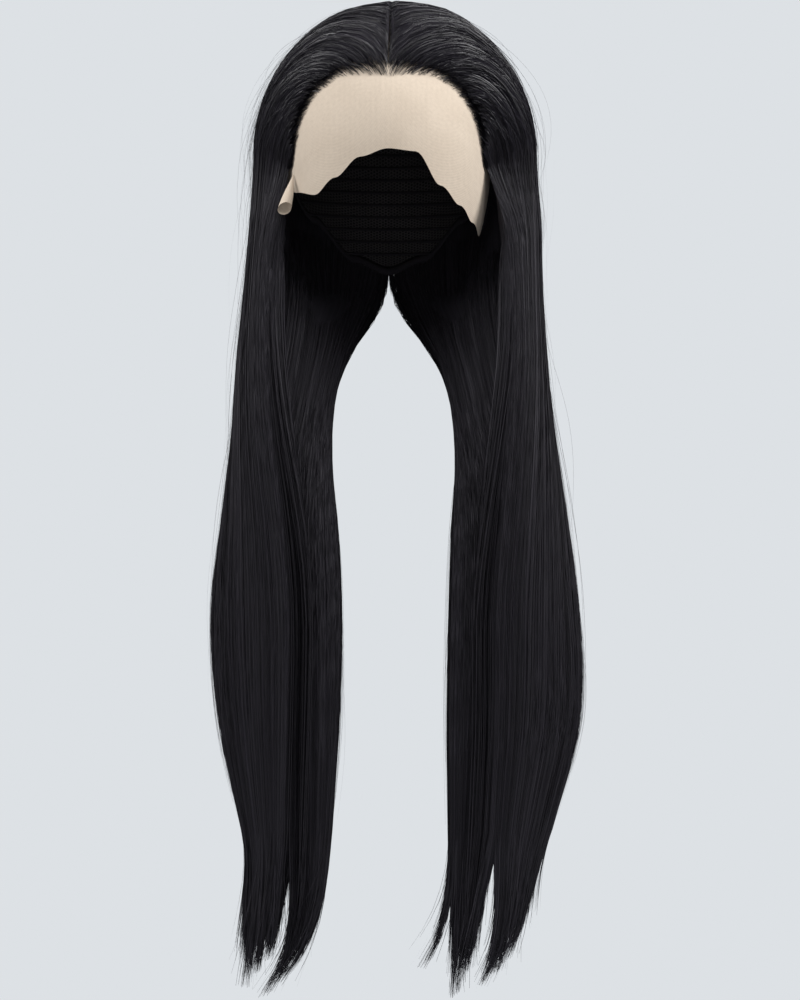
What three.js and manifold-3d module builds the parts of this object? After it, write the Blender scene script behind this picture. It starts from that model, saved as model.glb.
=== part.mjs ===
// A long straight lace front wig with a centre parting, in millimetres, +Z up, as it is worn.
// The origin is the crown of the head hollow. The wig faces -Y, and +X is the viewer's right.
import * as THREE from "three";
import { mergeVertices } from "three/addons/utils/BufferGeometryUtils.js";
import Module from "manifold-3d";

const wasm = await Module();
wasm.setup();

// Head hollow that the cap fits
const head_width = 154;
const head_length = 194;
const head_crown = 105; // from the crown down to the level where the head is widest
const head_face_drop = 140; // from that level down to the pole of the front half
const head_nape_drop = 125; // the same at the back, where the head tucks in to the neck

// Lace and cap
const lace_wall = 1.0;
const cap_wall = 1.4;
const lace_depth = 79; // from the forehead back to the seam where the cap begins
const cap_nape_drop = 190; // from the crown to the cap's lowest edge, at the nape
const piece_gap = 0.4; // between neighbouring pieces

// Rolled end of the lace tab before the wearer's right ear
const tab_azimuth = 62; // degrees from straight ahead
const tab_drop = 134; // from the crown to where the tab leaves the head
const tab_width = 21;
const tab_flare = 6; // how far it stands off before it rolls up
const tab_height = 15;
const tab_sag = 2; // its middle hangs this much below its ends
const tab_roll_radius = 3.2;
const tab_roll_turn = 240; // degrees that the end is rolled through

// Hair on the head
const hairline_drop = 53; // from the crown to the hairline above the forehead
const temple_drop = 118; // from the crown to where the side hair leaves the head
const hair_top = 9; // height of the hair above the crown
const hair_side = 27; // thickness of the hair over the ears
const hair_back = 18; // thickness of the hair behind the head
const hair_lean = 5; // the hair sits this much to the viewer's right
const ear_azimuth = 98; // degrees from straight ahead to where front and back hair meet
const parting_tilt = 35; // degrees behind straight up to where the parting ends
const crown_rise = 0.3; // share of the way down the head where the hair is thick again
const front_rise = 0.4; // share of the way from the hairline to the ear, likewise
const hair_edge = 1.6; // thickness of the hair at the hairline
const parting_rise = 0.65; // share of the hair's thickness that is left along the parting
const lock_relief = 1.5; // depth of the furrows between locks

// The two tresses
const tress_fall = 724; // from the crown to the longest tip
const right_reach = 129; // middle of the head to the outer edge of the wearer's right tress
const left_reach = 142; // the same for the wearer's left tress
const tress_forward = 96; // how far the tresses lie before the middle of the head
const tress_depth = 40; // front to back of one tress at its fullest
const lock_root = 44; // how far a tapering lock's root reaches up inside its tress

// Steps of the faceted surfaces
const cap_columns = 48;
const cap_rows = 8;
const skirt_rows = 3;
const hair_lanes = 12;
const crown_rows = 8;
const fall_steps = 2;
const lock_lanes = 4;
const lock_rows = 5;

const degrees = THREE.MathUtils.degToRad;
const mix = THREE.MathUtils.lerp;
const half_gap = piece_gap / 2;
const clear_offset = Math.max(lace_wall, cap_wall) + piece_gap;
const seam_y = lace_depth - head_length / 2;
const kept_clear_share = 0.85; // of the head's lower back, where the hair is kept clear of it
const head_floor = head_crown + kept_clear_share * head_nape_drop;

// Lower edge of lace and cap by azimuth from the front, in shares of the drop at the nape
const cap_edge = [
  { azimuth: 0, right: 0.565, left: 0.565 },
  { azimuth: 15, right: 0.595, left: 0.575 },
  { azimuth: 30, right: 0.67, left: 0.7 },
  { azimuth: 45, right: 0.73, left: 0.77 },
  { azimuth: 60, right: 0.715, left: 0.83 },
  { azimuth: 76, right: 0.7, left: 0.875 },
  { azimuth: 88, right: 0.69, left: 0.74 },
  { azimuth: 104, right: 0.66, left: 0.66 },
  { azimuth: 130, right: 0.8, left: 0.8 },
  { azimuth: 155, right: 0.95, left: 0.95 },
  { azimuth: 180, right: 1, left: 1 },
];

// Hairline from the parting to the temple: share of its length, azimuth, and share of the way
// from the hairline's drop to the temple's
const hairline = [
  { along: 0, azimuth: 0, lowered: 0 },
  { along: 0.27, azimuth: 29, lowered: 0.05 },
  { along: 0.44, azimuth: 43, lowered: 0.2 },
  { along: 0.6, azimuth: 52, lowered: 0.41 },
  { along: 0.79, azimuth: 59, lowered: 0.69 },
  { along: 1, azimuth: 67, lowered: 1 },
];

// Sections of the falling hair, each an oval from its first end to its second: drop in shares of
// the fall, x of both ends in shares of the tress's reach, y of both in shares of how far the
// tresses lie forward (negative is forward), half the thickness in shares of the tress depth.
const right_front_fall = [
  { drop: 0.215, first_x: 0.62, first_y: -0.5, second_x: 0.69, second_y: 0.2, half: 0.42 },
  { drop: 0.27, first_x: 0.66, first_y: -0.68, second_x: 0.72, second_y: 0.0, half: 0.36 },
  { drop: 0.35, first_x: 0.66, first_y: -0.84, second_x: 0.78, second_y: -0.2, half: 0.38 },
  { drop: 0.43, first_x: 0.63, first_y: -0.92, second_x: 0.83, second_y: -0.36, half: 0.4 },
  { drop: 0.52, first_x: 0.57, first_y: -0.93, second_x: 0.91, second_y: -0.46, half: 0.42 },
  { drop: 0.61, first_x: 0.54, first_y: -0.9, second_x: 0.98, second_y: -0.52, half: 0.42 },
  { drop: 0.72, first_x: 0.55, first_y: -0.88, second_x: 0.94, second_y: -0.56, half: 0.36 },
  { drop: 0.83, first_x: 0.57, first_y: -0.85, second_x: 0.81, second_y: -0.6, half: 0.26 },
];
const left_front_fall = [
  { drop: 0.215, first_x: 0.6, first_y: -0.5, second_x: 0.7, second_y: 0.2, half: 0.45 },
  { drop: 0.27, first_x: 0.62, first_y: -0.68, second_x: 0.7, second_y: 0.0, half: 0.38 },
  { drop: 0.35, first_x: 0.62, first_y: -0.84, second_x: 0.74, second_y: -0.2, half: 0.38 },
  { drop: 0.43, first_x: 0.59, first_y: -0.92, second_x: 0.8, second_y: -0.36, half: 0.4 },
  { drop: 0.52, first_x: 0.55, first_y: -0.93, second_x: 0.88, second_y: -0.46, half: 0.42 },
  { drop: 0.61, first_x: 0.52, first_y: -0.9, second_x: 0.95, second_y: -0.52, half: 0.42 },
  { drop: 0.72, first_x: 0.52, first_y: -0.88, second_x: 0.96, second_y: -0.56, half: 0.36 },
  { drop: 0.83, first_x: 0.5, first_y: -0.85, second_x: 0.82, second_y: -0.6, half: 0.26 },
];
const right_back_fall = [
  { drop: 0.215, first_x: 0.71, first_y: 0.04, second_x: 0.02, second_y: 0.99, half: 0.34 },
  { drop: 0.27, first_x: 0.74, first_y: -0.12, second_x: 0.09, second_y: 0.82, half: 0.36 },
  { drop: 0.35, first_x: 0.76, first_y: -0.28, second_x: 0.29, second_y: 0.36, half: 0.38 },
  { drop: 0.43, first_x: 0.79, first_y: -0.38, second_x: 0.33, second_y: -0.2, half: 0.4 },
  { drop: 0.52, first_x: 0.82, first_y: -0.4, second_x: 0.29, second_y: -0.56, half: 0.42 },
  { drop: 0.61, first_x: 0.84, first_y: -0.46, second_x: 0.265, second_y: -0.7, half: 0.42 },
  { drop: 0.72, first_x: 0.76, first_y: -0.5, second_x: 0.28, second_y: -0.74, half: 0.36 },
  { drop: 0.83, first_x: 0.68, first_y: -0.54, second_x: 0.32, second_y: -0.74, half: 0.26 },
];
const left_back_fall = [
  { drop: 0.215, first_x: 0.69, first_y: 0.04, second_x: 0.02, second_y: 0.99, half: 0.34 },
  { drop: 0.27, first_x: 0.7, first_y: -0.12, second_x: 0.09, second_y: 0.82, half: 0.36 },
  { drop: 0.35, first_x: 0.72, first_y: -0.28, second_x: 0.29, second_y: 0.36, half: 0.38 },
  { drop: 0.43, first_x: 0.75, first_y: -0.38, second_x: 0.345, second_y: -0.2, half: 0.4 },
  { drop: 0.52, first_x: 0.79, first_y: -0.4, second_x: 0.325, second_y: -0.56, half: 0.42 },
  { drop: 0.61, first_x: 0.83, first_y: -0.46, second_x: 0.31, second_y: -0.7, half: 0.42 },
  { drop: 0.72, first_x: 0.8, first_y: -0.5, second_x: 0.3, second_y: -0.74, half: 0.36 },
  { drop: 0.83, first_x: 0.66, first_y: -0.54, second_x: 0.305, second_y: -0.74, half: 0.26 },
];

// Tapering locks at the end of each piece, rooted inside it: x of root and tip in shares of the
// reach, y of both in shares of the forward lie, half width and half thickness at the root in
// shares of the tress depth, and the tip's drop in shares of the fall
const right_front_locks = [
  { root_x: 0.79, root_y: -0.66, wide: 0.3, thick: 0.2, tip_x: 0.8, tip_y: -0.66, tip: 0.93 },
  { root_x: 0.71, root_y: -0.76, wide: 0.32, thick: 0.22, tip_x: 0.73, tip_y: -0.74, tip: 0.965 },
  { root_x: 0.62, root_y: -0.8, wide: 0.28, thick: 0.2, tip_x: 0.62, tip_y: -0.78, tip: 0.945 },
];
const left_front_locks = [
  { root_x: 0.78, root_y: -0.66, wide: 0.3, thick: 0.2, tip_x: 0.66, tip_y: -0.68, tip: 0.915 },
  { root_x: 0.67, root_y: -0.76, wide: 0.36, thick: 0.22, tip_x: 0.58, tip_y: -0.76, tip: 0.955 },
  { root_x: 0.55, root_y: -0.8, wide: 0.3, thick: 0.2, tip_x: 0.47, tip_y: -0.8, tip: 0.98 },
];
const right_back_locks = [
  { root_x: 0.62, root_y: -0.58, wide: 0.34, thick: 0.2, tip_x: 0.66, tip_y: -0.6, tip: 0.95 },
  { root_x: 0.5, root_y: -0.66, wide: 0.34, thick: 0.22, tip_x: 0.61, tip_y: -0.66, tip: 0.975 },
  { root_x: 0.39, root_y: -0.72, wide: 0.26, thick: 0.22, tip_x: 0.7, tip_y: -0.7, tip: 1 },
];
const left_back_locks = [
  { root_x: 0.6, root_y: -0.58, wide: 0.34, thick: 0.2, tip_x: 0.5, tip_y: -0.6, tip: 0.94 },
  { root_x: 0.47, root_y: -0.66, wide: 0.34, thick: 0.22, tip_x: 0.37, tip_y: -0.66, tip: 0.965 },
  { root_x: 0.38, root_y: -0.72, wide: 0.28, thick: 0.22, tip_x: 0.32, tip_y: -0.72, tip: 0.995 },
];

const fabric = { roughness: 0.9, metalness: 0 };
const hair_finish = { color: 0x18181c, roughness: 0.45, metalness: 0 };
const lace_material = new THREE.MeshStandardMaterial({ color: 0xcebea5, ...fabric });
const cap_material = new THREE.MeshStandardMaterial({ color: 0x201f22, ...fabric });

// Looks a value up in a table, easing from row to row.
function eased(rows, key, column, at) {
  const next = rows.findIndex((row) => row[key] >= at);
  if (next <= 0) return rows[Math.max(next, 0)][column];
  const [low, high] = [rows[next - 1], rows[next]];
  const share = (at - low[key]) / (high[key] - low[key]);
  return mix(low[column], high[column], share * share * (3 - 2 * share));
}

// Looks a value up in a table, straight from row to row.
function straight(rows, key, column, at) {
  const next = rows.findIndex((row) => row[key] >= at);
  if (next <= 0) return rows[Math.max(next, 0)][column];
  const [low, high] = [rows[next - 1], rows[next]];
  return mix(low[column], high[column], (at - low[key]) / (high[key] - low[key]));
}

// Closed solid of points and the triangles between them.
function solid(points, faces) {
  const loose = new THREE.BufferGeometry();
  const numbers = points.flatMap((point) => point.toArray());
  loose.setAttribute("position", new THREE.Float32BufferAttribute(numbers, 3));
  loose.setIndex(faces.flat());
  return solidOf(loose);
}

// Closed solid of a geometry whose shared corners are merged first.
function solidOf(geometry) {
  geometry.deleteAttribute("normal");
  geometry.deleteAttribute("uv");
  const merged = mergeVertices(geometry, 1e-4);
  return new wasm.Manifold(
    new wasm.Mesh({
      numProp: 3,
      vertProperties: merged.attributes.position.array,
      triVerts: new Uint32Array(merged.index.array),
    }),
  );
}

// Geometry of a finished solid.
function geometryOf(body) {
  const mesh = body.getMesh();
  const geometry = new THREE.BufferGeometry();
  geometry.setAttribute("position", new THREE.BufferAttribute(new Float32Array(mesh.vertProperties), 3));
  geometry.setIndex(new THREE.BufferAttribute(new Uint32Array(mesh.triVerts), 1));
  geometry.computeVertexNormals();
  return geometry;
}

// Closes a sheet given as rows of outer and inner points on the +X side, for that side (1) or,
// mirrored, for the other (-1).
function sheet(rows, side) {
  const lanes = rows[0].outer.length;
  const shift = new THREE.Vector3(half_gap, 0, 0);
  const turn = new THREE.Vector3(side, 1, 1);
  const corners = rows.flatMap((row) => [...row.outer, ...row.inner]);
  const points = corners.map((corner) => corner.clone().add(shift).multiply(turn));
  const outer = (row, lane) => row * 2 * lanes + lane;
  const inner = (row, lane) => outer(row, lane) + lanes;
  const faces = [];
  const quad = (a, b, c, d) => {
    if (side > 0) faces.push([a, c, b], [a, d, c]);
    else faces.push([a, b, c], [a, c, d]);
  };
  for (let row = 0; row + 1 < rows.length; row++) {
    for (let lane = 0; lane + 1 < lanes; lane++) {
      quad(outer(row, lane), outer(row, lane + 1), outer(row + 1, lane + 1), outer(row + 1, lane));
      quad(inner(row, lane), inner(row + 1, lane), inner(row + 1, lane + 1), inner(row, lane + 1));
    }
    const last = lanes - 1;
    quad(outer(row, 0), outer(row + 1, 0), inner(row + 1, 0), inner(row, 0));
    quad(outer(row, last), inner(row, last), inner(row + 1, last), outer(row + 1, last));
  }
  const end = rows.length - 1;
  for (let lane = 0; lane + 1 < lanes; lane++) {
    quad(outer(0, lane), inner(0, lane), inner(0, lane + 1), outer(0, lane + 1));
    quad(outer(end, lane), outer(end, lane + 1), inner(end, lane + 1), inner(end, lane));
  }
  return solid(points, faces);
}

// Unit direction from the middle of the head: azimuth from the front, tilt from straight up.
function direction(azimuth, tilt) {
  const level = Math.sin(tilt);
  return new THREE.Vector3(level * Math.sin(azimuth), -level * Math.cos(azimuth), Math.cos(tilt));
}

// Height of the head's lower half in a direction: long at the face, short at the nape.
function lowerHeight(toward) {
  const backward = (1 + toward.y / Math.max(Math.hypot(toward.x, toward.y), 1e-9)) / 2;
  return mix(head_face_drop, head_nape_drop, backward);
}

// Point in a direction on the head, or on the surface that far outside it.
function onHead(toward, outside) {
  const height = toward.z > 0 ? head_crown : lowerHeight(toward);
  return new THREE.Vector3(
    toward.x * (head_width / 2 + outside),
    toward.y * (head_length / 2 + outside),
    toward.z * (height + outside) - head_crown,
  );
}

// Direction in which the head's surface lies at an azimuth and a drop below the crown.
function atDrop(azimuth, drop) {
  const height = drop < head_crown ? head_crown : lowerHeight(direction(azimuth, Math.PI / 2));
  return direction(azimuth, Math.acos((head_crown - drop) / height));
}

// A wall on the head from its crown down to the cut edge of lace and cap, then on down by as many
// rows as its skirt has, to the floor of the space kept clear.
function dome(inside, outside, skirt_rows) {
  const last = cap_rows + skirt_rows;
  const points = [onHead(direction(0, 0), outside), onHead(direction(0, 0), inside)];
  const faces = [];
  const vertex = (row, column, layer) => 2 + ((row - 1) * cap_columns + (column % cap_columns)) * 2 + layer;
  for (let row = 1; row <= last; row++)
    for (let column = 0; column < cap_columns; column++) {
      const azimuth = (column / cap_columns) * 2 * Math.PI;
      const edge = Math.acos(atDrop(azimuth, edgeDrop(azimuth)).z);
      const floor = Math.acos(atDrop(azimuth, head_floor).z);
      const past = (row - cap_rows) / skirt_rows;
      const tilt = past > 0 ? mix(edge, floor, past) : (edge * row) / cap_rows;
      points.push(onHead(direction(azimuth, tilt), outside), onHead(direction(azimuth, tilt), inside));
    }
  for (let column = 0; column < cap_columns; column++) {
    const next = column + 1;
    faces.push([0, vertex(1, column, 0), vertex(1, next, 0)]);
    faces.push([1, vertex(1, next, 1), vertex(1, column, 1)]);
    for (let row = 1; row < last; row++) {
      faces.push([vertex(row, column, 0), vertex(row + 1, column, 0), vertex(row + 1, next, 0)]);
      faces.push([vertex(row, column, 0), vertex(row + 1, next, 0), vertex(row, next, 0)]);
      faces.push([vertex(row, column, 1), vertex(row + 1, next, 1), vertex(row + 1, column, 1)]);
      faces.push([vertex(row, column, 1), vertex(row, next, 1), vertex(row + 1, next, 1)]);
    }
    faces.push([vertex(last, column, 0), vertex(last, column, 1), vertex(last, next, 1)]);
    faces.push([vertex(last, column, 0), vertex(last, next, 1), vertex(last, next, 0)]);
  }
  return solid(points, faces);
}

// Drop of the cut edge of lace and cap at an azimuth that runs right round the head.
function edgeDrop(azimuth) {
  const turned = THREE.MathUtils.radToDeg(azimuth);
  const side = turned <= 180 ? "left" : "right";
  return eased(cap_edge, "azimuth", side, Math.min(turned, 360 - turned)) * cap_nape_drop;
}

// Everything before or behind the seam between lace and cap.
function pastSeam(forward) {
  const span = 4 * (head_length + head_width);
  const box = new THREE.BoxGeometry(span, span, span);
  box.translate(0, seam_y + (forward ? -1 : 1) * (span / 2 + half_gap), 0);
  return solidOf(box);
}

// The tab before the wearer's right ear: it flares off the head and its end is rolled outwards.
function tabRoll(grown) {
  const root = onHead(atDrop(degrees(tab_azimuth), tab_drop), lace_wall / 2);
  const wall = lace_wall / 2 + grown;
  const outward = new THREE.Vector3(1, -0.35, 0).normalize();
  const along = new THREE.Vector3(0.35, 1, 0).normalize();
  const roll_out = tab_flare + tab_roll_radius;
  const profile = [
    { out: -lace_wall / 2, drop: -2 * lace_wall - 2 * grown, sag: 0 },
    { out: tab_flare * 0.3, drop: tab_height * 0.45, sag: 0.3 * tab_sag },
    { out: tab_flare, drop: tab_height, sag: 0.1 * tab_sag },
  ];
  const last_turn = tab_roll_turn + THREE.MathUtils.radToDeg((2 * grown) / tab_roll_radius);
  for (const share of [0.16, 0.37, 0.58, 0.79, 1]) {
    const turn = share * last_turn;
    profile.push({
      out: roll_out - tab_roll_radius * Math.cos(degrees(turn)),
      drop: tab_height + tab_roll_radius * Math.sin(degrees(turn)),
      sag: 0.1 * tab_sag,
    });
  }
  const rows = profile.map((here, i) => {
    const before = profile[Math.max(i - 1, 0)];
    const after = profile[Math.min(i + 1, profile.length - 1)];
    const length = Math.hypot(after.out - before.out, after.drop - before.drop);
    const normal = { out: (after.drop - before.drop) / length, drop: -(after.out - before.out) / length };
    const row = { outer: [], inner: [] };
    for (const share of [0, 0.5, 1]) {
      const slide = (share - 0.5) * (tab_width + 2 * grown);
      const sag = here.sag * Math.cos((share - 0.5) * Math.PI);
      for (const [face, sign] of [["outer", 1], ["inner", -1]]) {
        const out = here.out + sign * wall * normal.out;
        const drop = here.drop + sign * wall * normal.drop + sag;
        const point = root.clone().addScaledVector(outward, out).addScaledVector(along, slide);
        row[face].push(point.setZ(root.z - drop));
      }
    }
    return row;
  });
  return sheet(rows, -1);
}

// Direction between two others, share of the way along the arc, or a little past either.
function between(first, second, share) {
  const angle = first.angleTo(second);
  const from = Math.sin((1 - share) * angle) / Math.sin(angle);
  const to = Math.sin(share * angle) / Math.sin(angle);
  return first.clone().multiplyScalar(from).addScaledVector(second, to);
}

// Lanes that bound the hair on the head, from the parting (0) to the temple's level (1)
const bounds = {
  hairline(along) {
    const azimuth = degrees(straight(hairline, "along", "azimuth", along));
    const lowered = straight(hairline, "along", "lowered", along);
    return atDrop(azimuth, mix(hairline_drop, temple_drop, lowered));
  },
  behind_ear(along) {
    const edge = atDrop(degrees(ear_azimuth), temple_drop);
    return direction(degrees(ear_azimuth), Math.acos(edge.z) * along);
  },
  back_middle(along) {
    const edge = atDrop(Math.PI, temple_drop);
    return direction(Math.PI, mix(degrees(parting_tilt), Math.acos(edge.z), along));
  },
};

// Outer surface of the hair where it has its full thickness.
function onHair(toward, side) {
  const height = toward.z > 0 ? head_crown + hair_top : lowerHeight(toward) + hair_top;
  return new THREE.Vector3(
    toward.x * (head_width / 2 + hair_side) + side * hair_lean,
    toward.y * (head_length / 2 + hair_back),
    toward.z * height - head_crown,
  );
}

// Furrows between locks across a piece, zero at its ends.
function furrow(share, locks) {
  return lock_relief * (Math.abs(Math.sin(Math.PI * locks * share)) - 0.5) * Math.sin(Math.PI * share);
}

// Rows of one piece of hair on the head.
function crownRows(piece, grown) {
  const rows = [];
  for (let step = 0; step <= crown_rows; step++) {
    const along = step / crown_rows;
    const row = { outer: [], inner: [] };
    for (let lane = 0; lane <= hair_lanes; lane++) {
      const share = lane / hair_lanes;
      const spread = share + ((2 * share - 1) * grown) / (head_length / 2);
      const toward = between(piece.first(along), piece.second(along), spread);
      const low = onHead(toward, clear_offset + hair_edge);
      const rise = piece.rise(share) * mix(parting_rise, 1, THREE.MathUtils.smoothstep(along, 0, crown_rise));
      const outer = low.lerp(onHair(toward, piece.side), rise);
      const inner = onHead(toward, -hair_edge);
      const lift = furrow(share, piece.locks) * rise + grown;
      outer.add(outer.clone().sub(inner).setLength(lift));
      row.outer.push(outer);
      row.inner.push(inner);
    }
    rows.push(row);
  }
  return rows;
}

// One oval section of falling hair, from its first end to its second.
function ovalRow(section, lanes, locks, grown) {
  const first = new THREE.Vector3(section.first_x, section.first_y, section.z);
  const second = new THREE.Vector3(section.second_x, section.second_y, section.z);
  const ahead = second.clone().sub(first).normalize();
  const outward = new THREE.Vector3(ahead.y, -ahead.x, 0);
  first.addScaledVector(ahead, -grown);
  second.addScaledVector(ahead, grown);
  const row = { outer: [], inner: [] };
  for (let lane = 0; lane <= lanes; lane++) {
    const share = lane / lanes;
    const middle = first.clone().lerp(second, (1 - Math.cos(Math.PI * share)) / 2);
    const swell = Math.max(Math.sin(Math.PI * share), 0) ** 0.8;
    const half = mix(Math.min(hair_edge, section.half) / 2, section.half, swell) + grown;
    row.outer.push(middle.clone().addScaledVector(outward, half + furrow(share, locks)));
    row.inner.push(middle.addScaledVector(outward, -half));
  }
  return row;
}

// Rows of the falling hair, smoothed through the head's last row and the table's sections.
function fallRows(piece, crown, grown) {
  const stations = piece.fall.map((at) =>
    ovalRow(
      {
        first_x: at.first_x * piece.reach,
        first_y: at.first_y * tress_forward,
        second_x: at.second_x * piece.reach,
        second_y: at.second_y * tress_forward,
        half: at.half * tress_depth,
        z: -at.drop * tress_fall,
      },
      hair_lanes,
      piece.locks,
      grown,
    ),
  );
  const guides = [crown.at(-2), crown.at(-1), ...stations];
  const curves = { outer: [], inner: [] };
  for (const face of ["outer", "inner"])
    for (let lane = 0; lane <= hair_lanes; lane++) {
      const through = guides.map((row) => row[face][lane]);
      curves[face].push(new THREE.CatmullRomCurve3(through, false, "centripetal"));
    }
  const rows = [];
  const intervals = guides.length - 1;
  for (let step = fall_steps + 1; step <= intervals * fall_steps; step++) {
    const at = step / (intervals * fall_steps);
    rows.push({
      outer: curves.outer.map((curve) => curve.getPoint(at)),
      inner: curves.inner.map((curve) => curve.getPoint(at)),
    });
  }
  return rows;
}

// A tapering lock whose root lies inside the end of its tress.
function lockEnd(piece, lock, grown) {
  const root = piece.fall.at(-1).drop * tress_fall - lock_root;
  const rows = [];
  for (let step = 0; step <= lock_rows; step++) {
    const share = step / lock_rows;
    const x = mix(lock.root_x, lock.tip_x, share ** 2) * piece.reach;
    const y = mix(lock.root_y, lock.tip_y, share) * tress_forward;
    const taper = Math.sqrt(1 - share ** 1.7) * mix(0.6, 1, THREE.MathUtils.smoothstep(share, 0, 0.35));
    const wide = Math.max(lock.wide * tress_depth * taper, hair_edge / 2);
    const half = Math.max(lock.thick * tress_depth * taper, hair_edge / 2);
    const section = { first_x: x - wide, first_y: y - wide / 4, second_x: x + wide, second_y: y + wide / 4 };
    const z = -mix(root, lock.tip * tress_fall + grown, share);
    rows.push(ovalRow({ ...section, half, z }, lock_lanes, 1, grown));
  }
  return sheet(rows, piece.side);
}

// One piece of hair, a sheet with its locks joined on, before its neighbours are cut away.
function hairBody(piece, grown) {
  const crown = crownRows(piece, grown);
  const rows = [...crown, ...fallRows(piece, crown, grown)];
  return piece.ends.reduce((body, lock) => body.add(lockEnd(piece, lock, grown)), sheet(rows, piece.side));
}

// Front hair of one side, which starts thin at the hairline.
function frontHair(side, reach, fall, ends) {
  const rise = (share) => THREE.MathUtils.smoothstep(share, 0, front_rise);
  return { side, reach, fall, ends, rise, locks: 4, first: bounds.hairline, second: bounds.behind_ear };
}

// Back hair of one side, from the crown and the back of the head.
function backHair(side, reach, fall, ends) {
  const lanes = { first: bounds.behind_ear, second: bounds.back_middle };
  return { side, reach, fall, ends, rise: () => 1, locks: 5, ...lanes };
}

// The main body of a cut piece, without specks that the cut leaves where surfaces meet.
function withoutCrumbs(body) {
  return body.decompose().reduce((most, next) => (next.volume() > most.volume() ? next : most));
}

const wig = new THREE.Group();

function addPiece(name, body, material) {
  const mesh = new THREE.Mesh(geometryOf(body), material);
  mesh.name = name;
  wig.add(mesh);
}

const lace = dome(0, lace_wall, 0).intersect(pastSeam(true)).add(tabRoll(0));
addPiece("lace_front", lace, lace_material);
addPiece("wig_cap", dome(0, cap_wall, 0).intersect(pastSeam(false)), cap_material);

const head = dome(-head_width / 4, clear_offset, skirt_rows);
const kept_clear = head.add(tabRoll(piece_gap));
const sides = [
  {
    side: -1,
    name: "right",
    front: frontHair(-1, right_reach, right_front_fall, right_front_locks),
    back: backHair(-1, right_reach, right_back_fall, right_back_locks),
  },
  {
    side: 1,
    name: "left",
    front: frontHair(1, left_reach, left_front_fall, left_front_locks),
    back: backHair(1, left_reach, left_back_fall, left_back_locks),
  },
];
for (const { name, front, back } of sides) {
  const material = new THREE.MeshStandardMaterial(hair_finish);
  const back_body = hairBody(back, 0).subtract(hairBody(front, piece_gap)).subtract(kept_clear);
  addPiece(`hair_front_${name}`, hairBody(front, 0).subtract(kept_clear), material);
  addPiece(`hair_back_${name}`, withoutCrumbs(back_body), material);
}

export default wig;
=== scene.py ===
"""Dresses a long straight lace front wig with a centre parting, in the form it has when worn.

Lengths are in metres. The origin is the crown of the head hollow, +Z is up, the wig faces -Y
and +X is the viewer's right. Shapes on the head are worked out for the +X side and mirrored.
"""

import logging
from collections.abc import Sequence
from dataclasses import astuple, dataclass, field
from enum import Enum

import bmesh
import bpy
import numpy as np
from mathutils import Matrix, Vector


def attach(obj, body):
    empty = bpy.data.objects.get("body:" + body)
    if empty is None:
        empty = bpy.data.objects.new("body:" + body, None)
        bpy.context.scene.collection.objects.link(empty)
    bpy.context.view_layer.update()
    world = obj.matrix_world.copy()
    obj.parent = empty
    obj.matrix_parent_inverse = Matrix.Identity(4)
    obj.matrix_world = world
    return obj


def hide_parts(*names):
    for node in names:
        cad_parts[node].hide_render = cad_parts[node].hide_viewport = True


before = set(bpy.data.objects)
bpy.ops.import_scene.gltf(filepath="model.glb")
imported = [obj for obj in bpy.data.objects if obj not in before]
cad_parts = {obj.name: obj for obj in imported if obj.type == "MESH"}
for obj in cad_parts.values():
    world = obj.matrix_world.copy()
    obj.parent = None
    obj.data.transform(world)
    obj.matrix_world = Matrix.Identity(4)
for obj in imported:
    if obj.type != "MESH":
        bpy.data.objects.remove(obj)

Array = np.ndarray
Colour = tuple[float, float, float, float]
log = logging.getLogger("wig")

PIECE_GAP = 0.0004
LACE_WALL = 0.001
CAP_WALL = 0.0014
CLEAR_OFFSET = CAP_WALL + PIECE_GAP
HAIR_OFFSET = CLEAR_OFFSET + 0.0002
THREAD_GAP = 0.0001
SEAM_Y = -0.018
CROWN_ROWS = 32
FALL_STEPS = 6
LANES = 72
TAIL_POINTS = 6


class Side(Enum):
    """The wearer's side, with the sign of X on it."""

    RIGHT = -1
    LEFT = 1


class Place(Enum):
    """Which part of a side a piece of hair covers."""

    FRONT = "front"
    BACK = "back"


def smooth(low: float, high: float, value: Array) -> Array:
    """Ease from 0 at low to 1 at high."""
    share = np.clip((np.asarray(value, float) - low) / (high - low), 0, 1)
    return share * share * (3 - 2 * share)


def mix(first: Array, second: Array, share: Array) -> Array:
    """Blend from first to second by share."""
    return first + (second - first) * share


def unit(vectors: Array) -> Array:
    """Scale vectors along the last axis to length one."""
    return vectors / np.maximum(np.linalg.norm(vectors, axis=-1, keepdims=True), 1e-12)


def direction(azimuth: Array, tilt: Array) -> Array:
    """Point from the middle of the head, by azimuth from the front and tilt from straight up."""
    azimuth, tilt = np.broadcast_arrays(azimuth, tilt)
    level = np.sin(tilt)
    return np.stack([level * np.sin(azimuth), -level * np.cos(azimuth), np.cos(tilt)], -1)


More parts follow.
